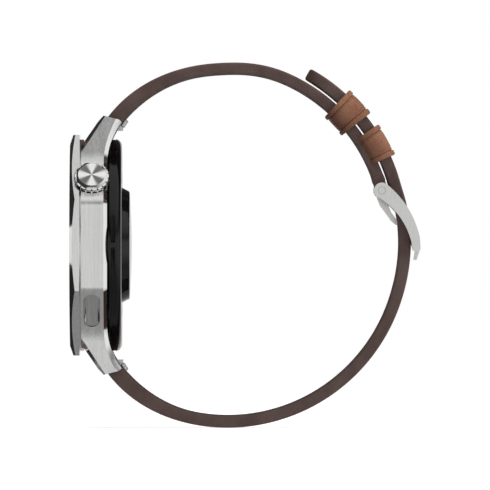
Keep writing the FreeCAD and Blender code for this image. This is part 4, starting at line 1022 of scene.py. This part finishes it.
def textMesh(words, height, spot, depth):
    # letters stand on the front, readable from in front of the dial, tops towards +Z
    curve = bpy.data.curves.new("numeral", "FONT")
    curve.body, curve.size, curve.extrude = words, height * mm / 0.7, depth * mm / 2
    curve.align_x, curve.align_y = "CENTER", "CENTER"
    curve.resolution_u = 3
    thing = bpy.data.objects.new("numeral", curve)
    bpy.context.scene.collection.objects.link(thing)
    bpy.context.view_layer.update()
    depsgraph = bpy.context.evaluated_depsgraph_get()
    mesh = bpy.data.meshes.new_from_object(thing.evaluated_get(depsgraph))
    bpy.data.objects.remove(thing)
    upright = Matrix(((0, 0, -1, 0), (-1, 0, 0, 0), (0, 1, 0, 0), (0, 0, 0, 1)))
    mesh.transform(Matrix.Translation(Vector(spot) * mm) @ upright)
    return mesh


def joinMeshes(name, meshes, material):
    shape = bmesh.new()
    for mesh in meshes:
        shape.from_mesh(mesh)
        bpy.data.meshes.remove(mesh)
    bmesh.ops.remove_doubles(shape, verts=shape.verts, dist=1e-8)
    for face in shape.faces:
        face.material_index = 0
    mesh = bpy.data.meshes.new(name)
    shape.to_mesh(mesh)
    shape.free()
    mesh.materials.clear()
    mesh.materials.append(material)
    thing = bpy.data.objects.new(name, mesh)
    bpy.context.scene.collection.objects.link(thing)
    return thing


numeralLook = {"size": 2.1, "ring": 12.9, "x": -31.37, "depth": 0.03}
numerals = []
for hour in range(1, 13):
    turn = math.radians(30 * hour)
    spot = (numeralLook["x"], -numeralLook["ring"] * math.sin(turn), numeralLook["ring"] * math.cos(turn))
    numerals.append(textMesh(str(hour), numeralLook["size"], spot, numeralLook["depth"]))
dialNumerals = joinMeshes("dial_numerals", numerals, markInk)


def handMesh(name, look):
    # a tapered, faceted hand pointing at `degrees` clockwise from 12
    length, tail, width = look["length"], look["tail"], look["width"]
    outline = [(-width * 0.35, -tail), (-width / 2, 0), (-width * 0.28, length * 0.92), (0, length),
               (width * 0.28, length * 0.92), (width / 2, 0), (width * 0.35, -tail)]
    a = math.radians(look["degrees"])
    points = []
    for lift in (0.0, -0.05):
        for across, up in outline:
            points.append((look["x"] + lift, -(across * math.cos(a) + up * math.sin(a)),
                           -across * math.sin(a) + up * math.cos(a)))
    return newMesh(name, points, stackedFaces(2, len(outline)), [look["ink"]], smooth=False)


handLook = {
    "dial_hour_hand": {"length": 8.6, "tail": 1.8, "width": 1.15, "degrees": 305.0, "x": -31.40,
                       "ink": handInk},
    "dial_minute_hand": {"length": 13.6, "tail": 2.2, "width": 0.85, "degrees": 50.0, "x": -31.50,
                         "ink": handInk},
    "dial_second_hand": {"length": 14.6, "tail": 3.6, "width": 0.28, "degrees": 180.0, "x": -31.60,
                         "ink": accentInk},
}
hands = [handMesh(name, look) for name, look in handLook.items()]
print("dial and bezel marks made")


bodyOf = {
    "case": [upperStrap, lowerStrap, fixedKeeper, bezelMarks, dialMarks,
             dialNumerals] + stitchObjects + hands,
    "keeper": [freeKeeper],
}
for body, things in bodyOf.items():
    for thing in things:
        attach(thing, body)
for thing in (upperStrap, lowerStrap, fixedKeeper, freeKeeper):
    sharpen(thing)
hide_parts("upper_strap", "upper_lining")
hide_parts("lower_strap", "lower_lining")
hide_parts("fixed_keeper")
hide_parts("free_keeper")
print("pieces ride on their bodies")


studioLook = {
    "floor": "#b4b4b4", "floorGlow": 0.80, "floorReach": 6.0, "floorGap": 0.05,
    "dark": "#3a3a3c", "bright": 0.97, "below": "#a0a0a0", "card": "#2a2a2a",
}
low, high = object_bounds()
reach = studioLook["floorReach"]
floorMesh = bpy.data.meshes.new("studio_floor")
floorZ = low.z - studioLook["floorGap"] * mm
rim = [(reach * math.cos(math.pi * s / 48), reach * math.sin(math.pi * s / 48), floorZ) for s in range(96)]
floorMesh.from_pydata(rim, [], [tuple(range(96))])
floor = bpy.data.objects.new("studio_floor", floorMesh)
bpy.context.scene.collection.objects.link(floor)
# matt paper that glows a little, so it reads as plain white
floorMaterial, add = startMaterial("pale_studio_floor")
floorMesh.materials.append(finishMaterial(floorMaterial, add, {
    "Base Color": linear(studioLook["floor"]), "Roughness": 0.9, "Specular IOR Level": 0.1,
    "Emission Color": (1.0, 1.0, 1.0, 1.0), "Emission Strength": studioLook["floorGlow"]}))
floor.visible_glossy = False  # metals see the dark room below instead

world = bpy.data.worlds.new("studio_world")
bpy.context.scene.world = world
world.use_nodes = True
world.node_tree.nodes.clear()
add = partial(addNode, world.node_tree)
direction = add("ShaderNodeTexCoord").outputs["Generated"]


def towards(aim, near, far):
    # 1 within `near` degrees of a direction, 0 beyond `far`
    unit = Vector(aim).normalized()
    dot = add("ShaderNodeVectorMath", {0: direction, 1: tuple(unit)},
              operation="DOT_PRODUCT").outputs["Value"]
    return between(add, dot, math.cos(math.radians(far)), math.cos(math.radians(near)))


split = add("ShaderNodeSeparateXYZ", {0: direction})
rise = split.outputs["Z"]
horizon = between(add, rise, 0.24, 0.08)
skyBright = towards((0.35, -0.35, 0.87), 26, 58)
sky = blendColour(add, skyBright, linear(studioLook["dark"]), (studioLook["bright"],) * 3 + (1.0,))
upper = blendColour(add, horizon, sky, (1.0, 1.0, 1.0, 1))
below = between(add, rise, -0.12, -0.60)
room = blendColour(add, below, upper, linear(studioLook["below"]))
backdrop = add("ShaderNodeBackground", {"Color": room, "Strength": 1.0})
add("ShaderNodeOutputWorld", {"Surface": backdrop.outputs[0]})


lightLook = {
    "top_softbox": {"spot": (0.05, -0.10, 0.70), "size": (0.8, 0.6), "watts": 5.0},
    "right_softbox": {"spot": (0.75, -0.55, 0.40), "size": (0.4, 0.7), "watts": 2.2},
    "front_softbox": {"spot": (-0.35, -0.95, 0.15), "size": (0.35, 0.8), "watts": 0.9},
}
for name, look in lightLook.items():
    lamp = bpy.data.lights.new(name, "AREA")
    lamp.shape, lamp.energy = "RECTANGLE", look["watts"]
    lamp.size, lamp.size_y = look["size"]
    light = bpy.data.objects.new(name, lamp)
    light.location = look["spot"]
    # aimed at the middle of the loop
    light.rotation_euler = (-Vector(look["spot"])).to_track_quat("-Z", "Y").to_euler()
    light.visible_glossy = False  # metals mirror the room, not the lamps
    bpy.context.scene.collection.objects.link(light)

# black card behind and above the bezel, seen only in the polished chamfers
cardMesh = bpy.data.meshes.new("black_card")
cardOutline = ((-0.72, 0.45, 0.03), (-0.12, 0.75, 0.03), (-0.12, 0.75, 0.20), (-0.72, 0.45, 0.20))
cardMesh.from_pydata([(x, y, z * side) for side in (1, -1) for x, y, z in cardOutline], [],
                     [(0, 1, 2, 3), (7, 6, 5, 4)])
card = bpy.data.objects.new("black_card", cardMesh)
bpy.context.scene.collection.objects.link(card)
cardMaterial, add = startMaterial("black_felt_card")  # felt: no shine at all
cardMesh.materials.append(finishMaterial(cardMaterial, add, {
    "Base Color": linear(studioLook["card"]), "Roughness": 0.95, "Specular IOR Level": 0.0}))
card.visible_camera = False

cameraLook = {"centre": (3.68, 0.04), "width": 103.16, "lens": 1200.0, "sensor": 36.0}
cameraData = bpy.data.cameras.new("camera")
cameraData.lens, cameraData.sensor_width = cameraLook["lens"], cameraLook["sensor"]
cameraData.clip_start, cameraData.clip_end = 0.05, 50
camera = bpy.data.objects.new("camera", cameraData)
bpy.context.scene.collection.objects.link(camera)
distance = cameraLook["width"] * mm * cameraLook["lens"] / cameraLook["sensor"]
camera.location = (cameraLook["centre"][0] * mm, -distance, cameraLook["centre"][1] * mm)
camera.rotation_euler = (math.pi / 2, 0, 0)
bpy.context.scene.camera = camera
bpy.context.scene.view_settings.view_transform = "Standard"
print("studio set")
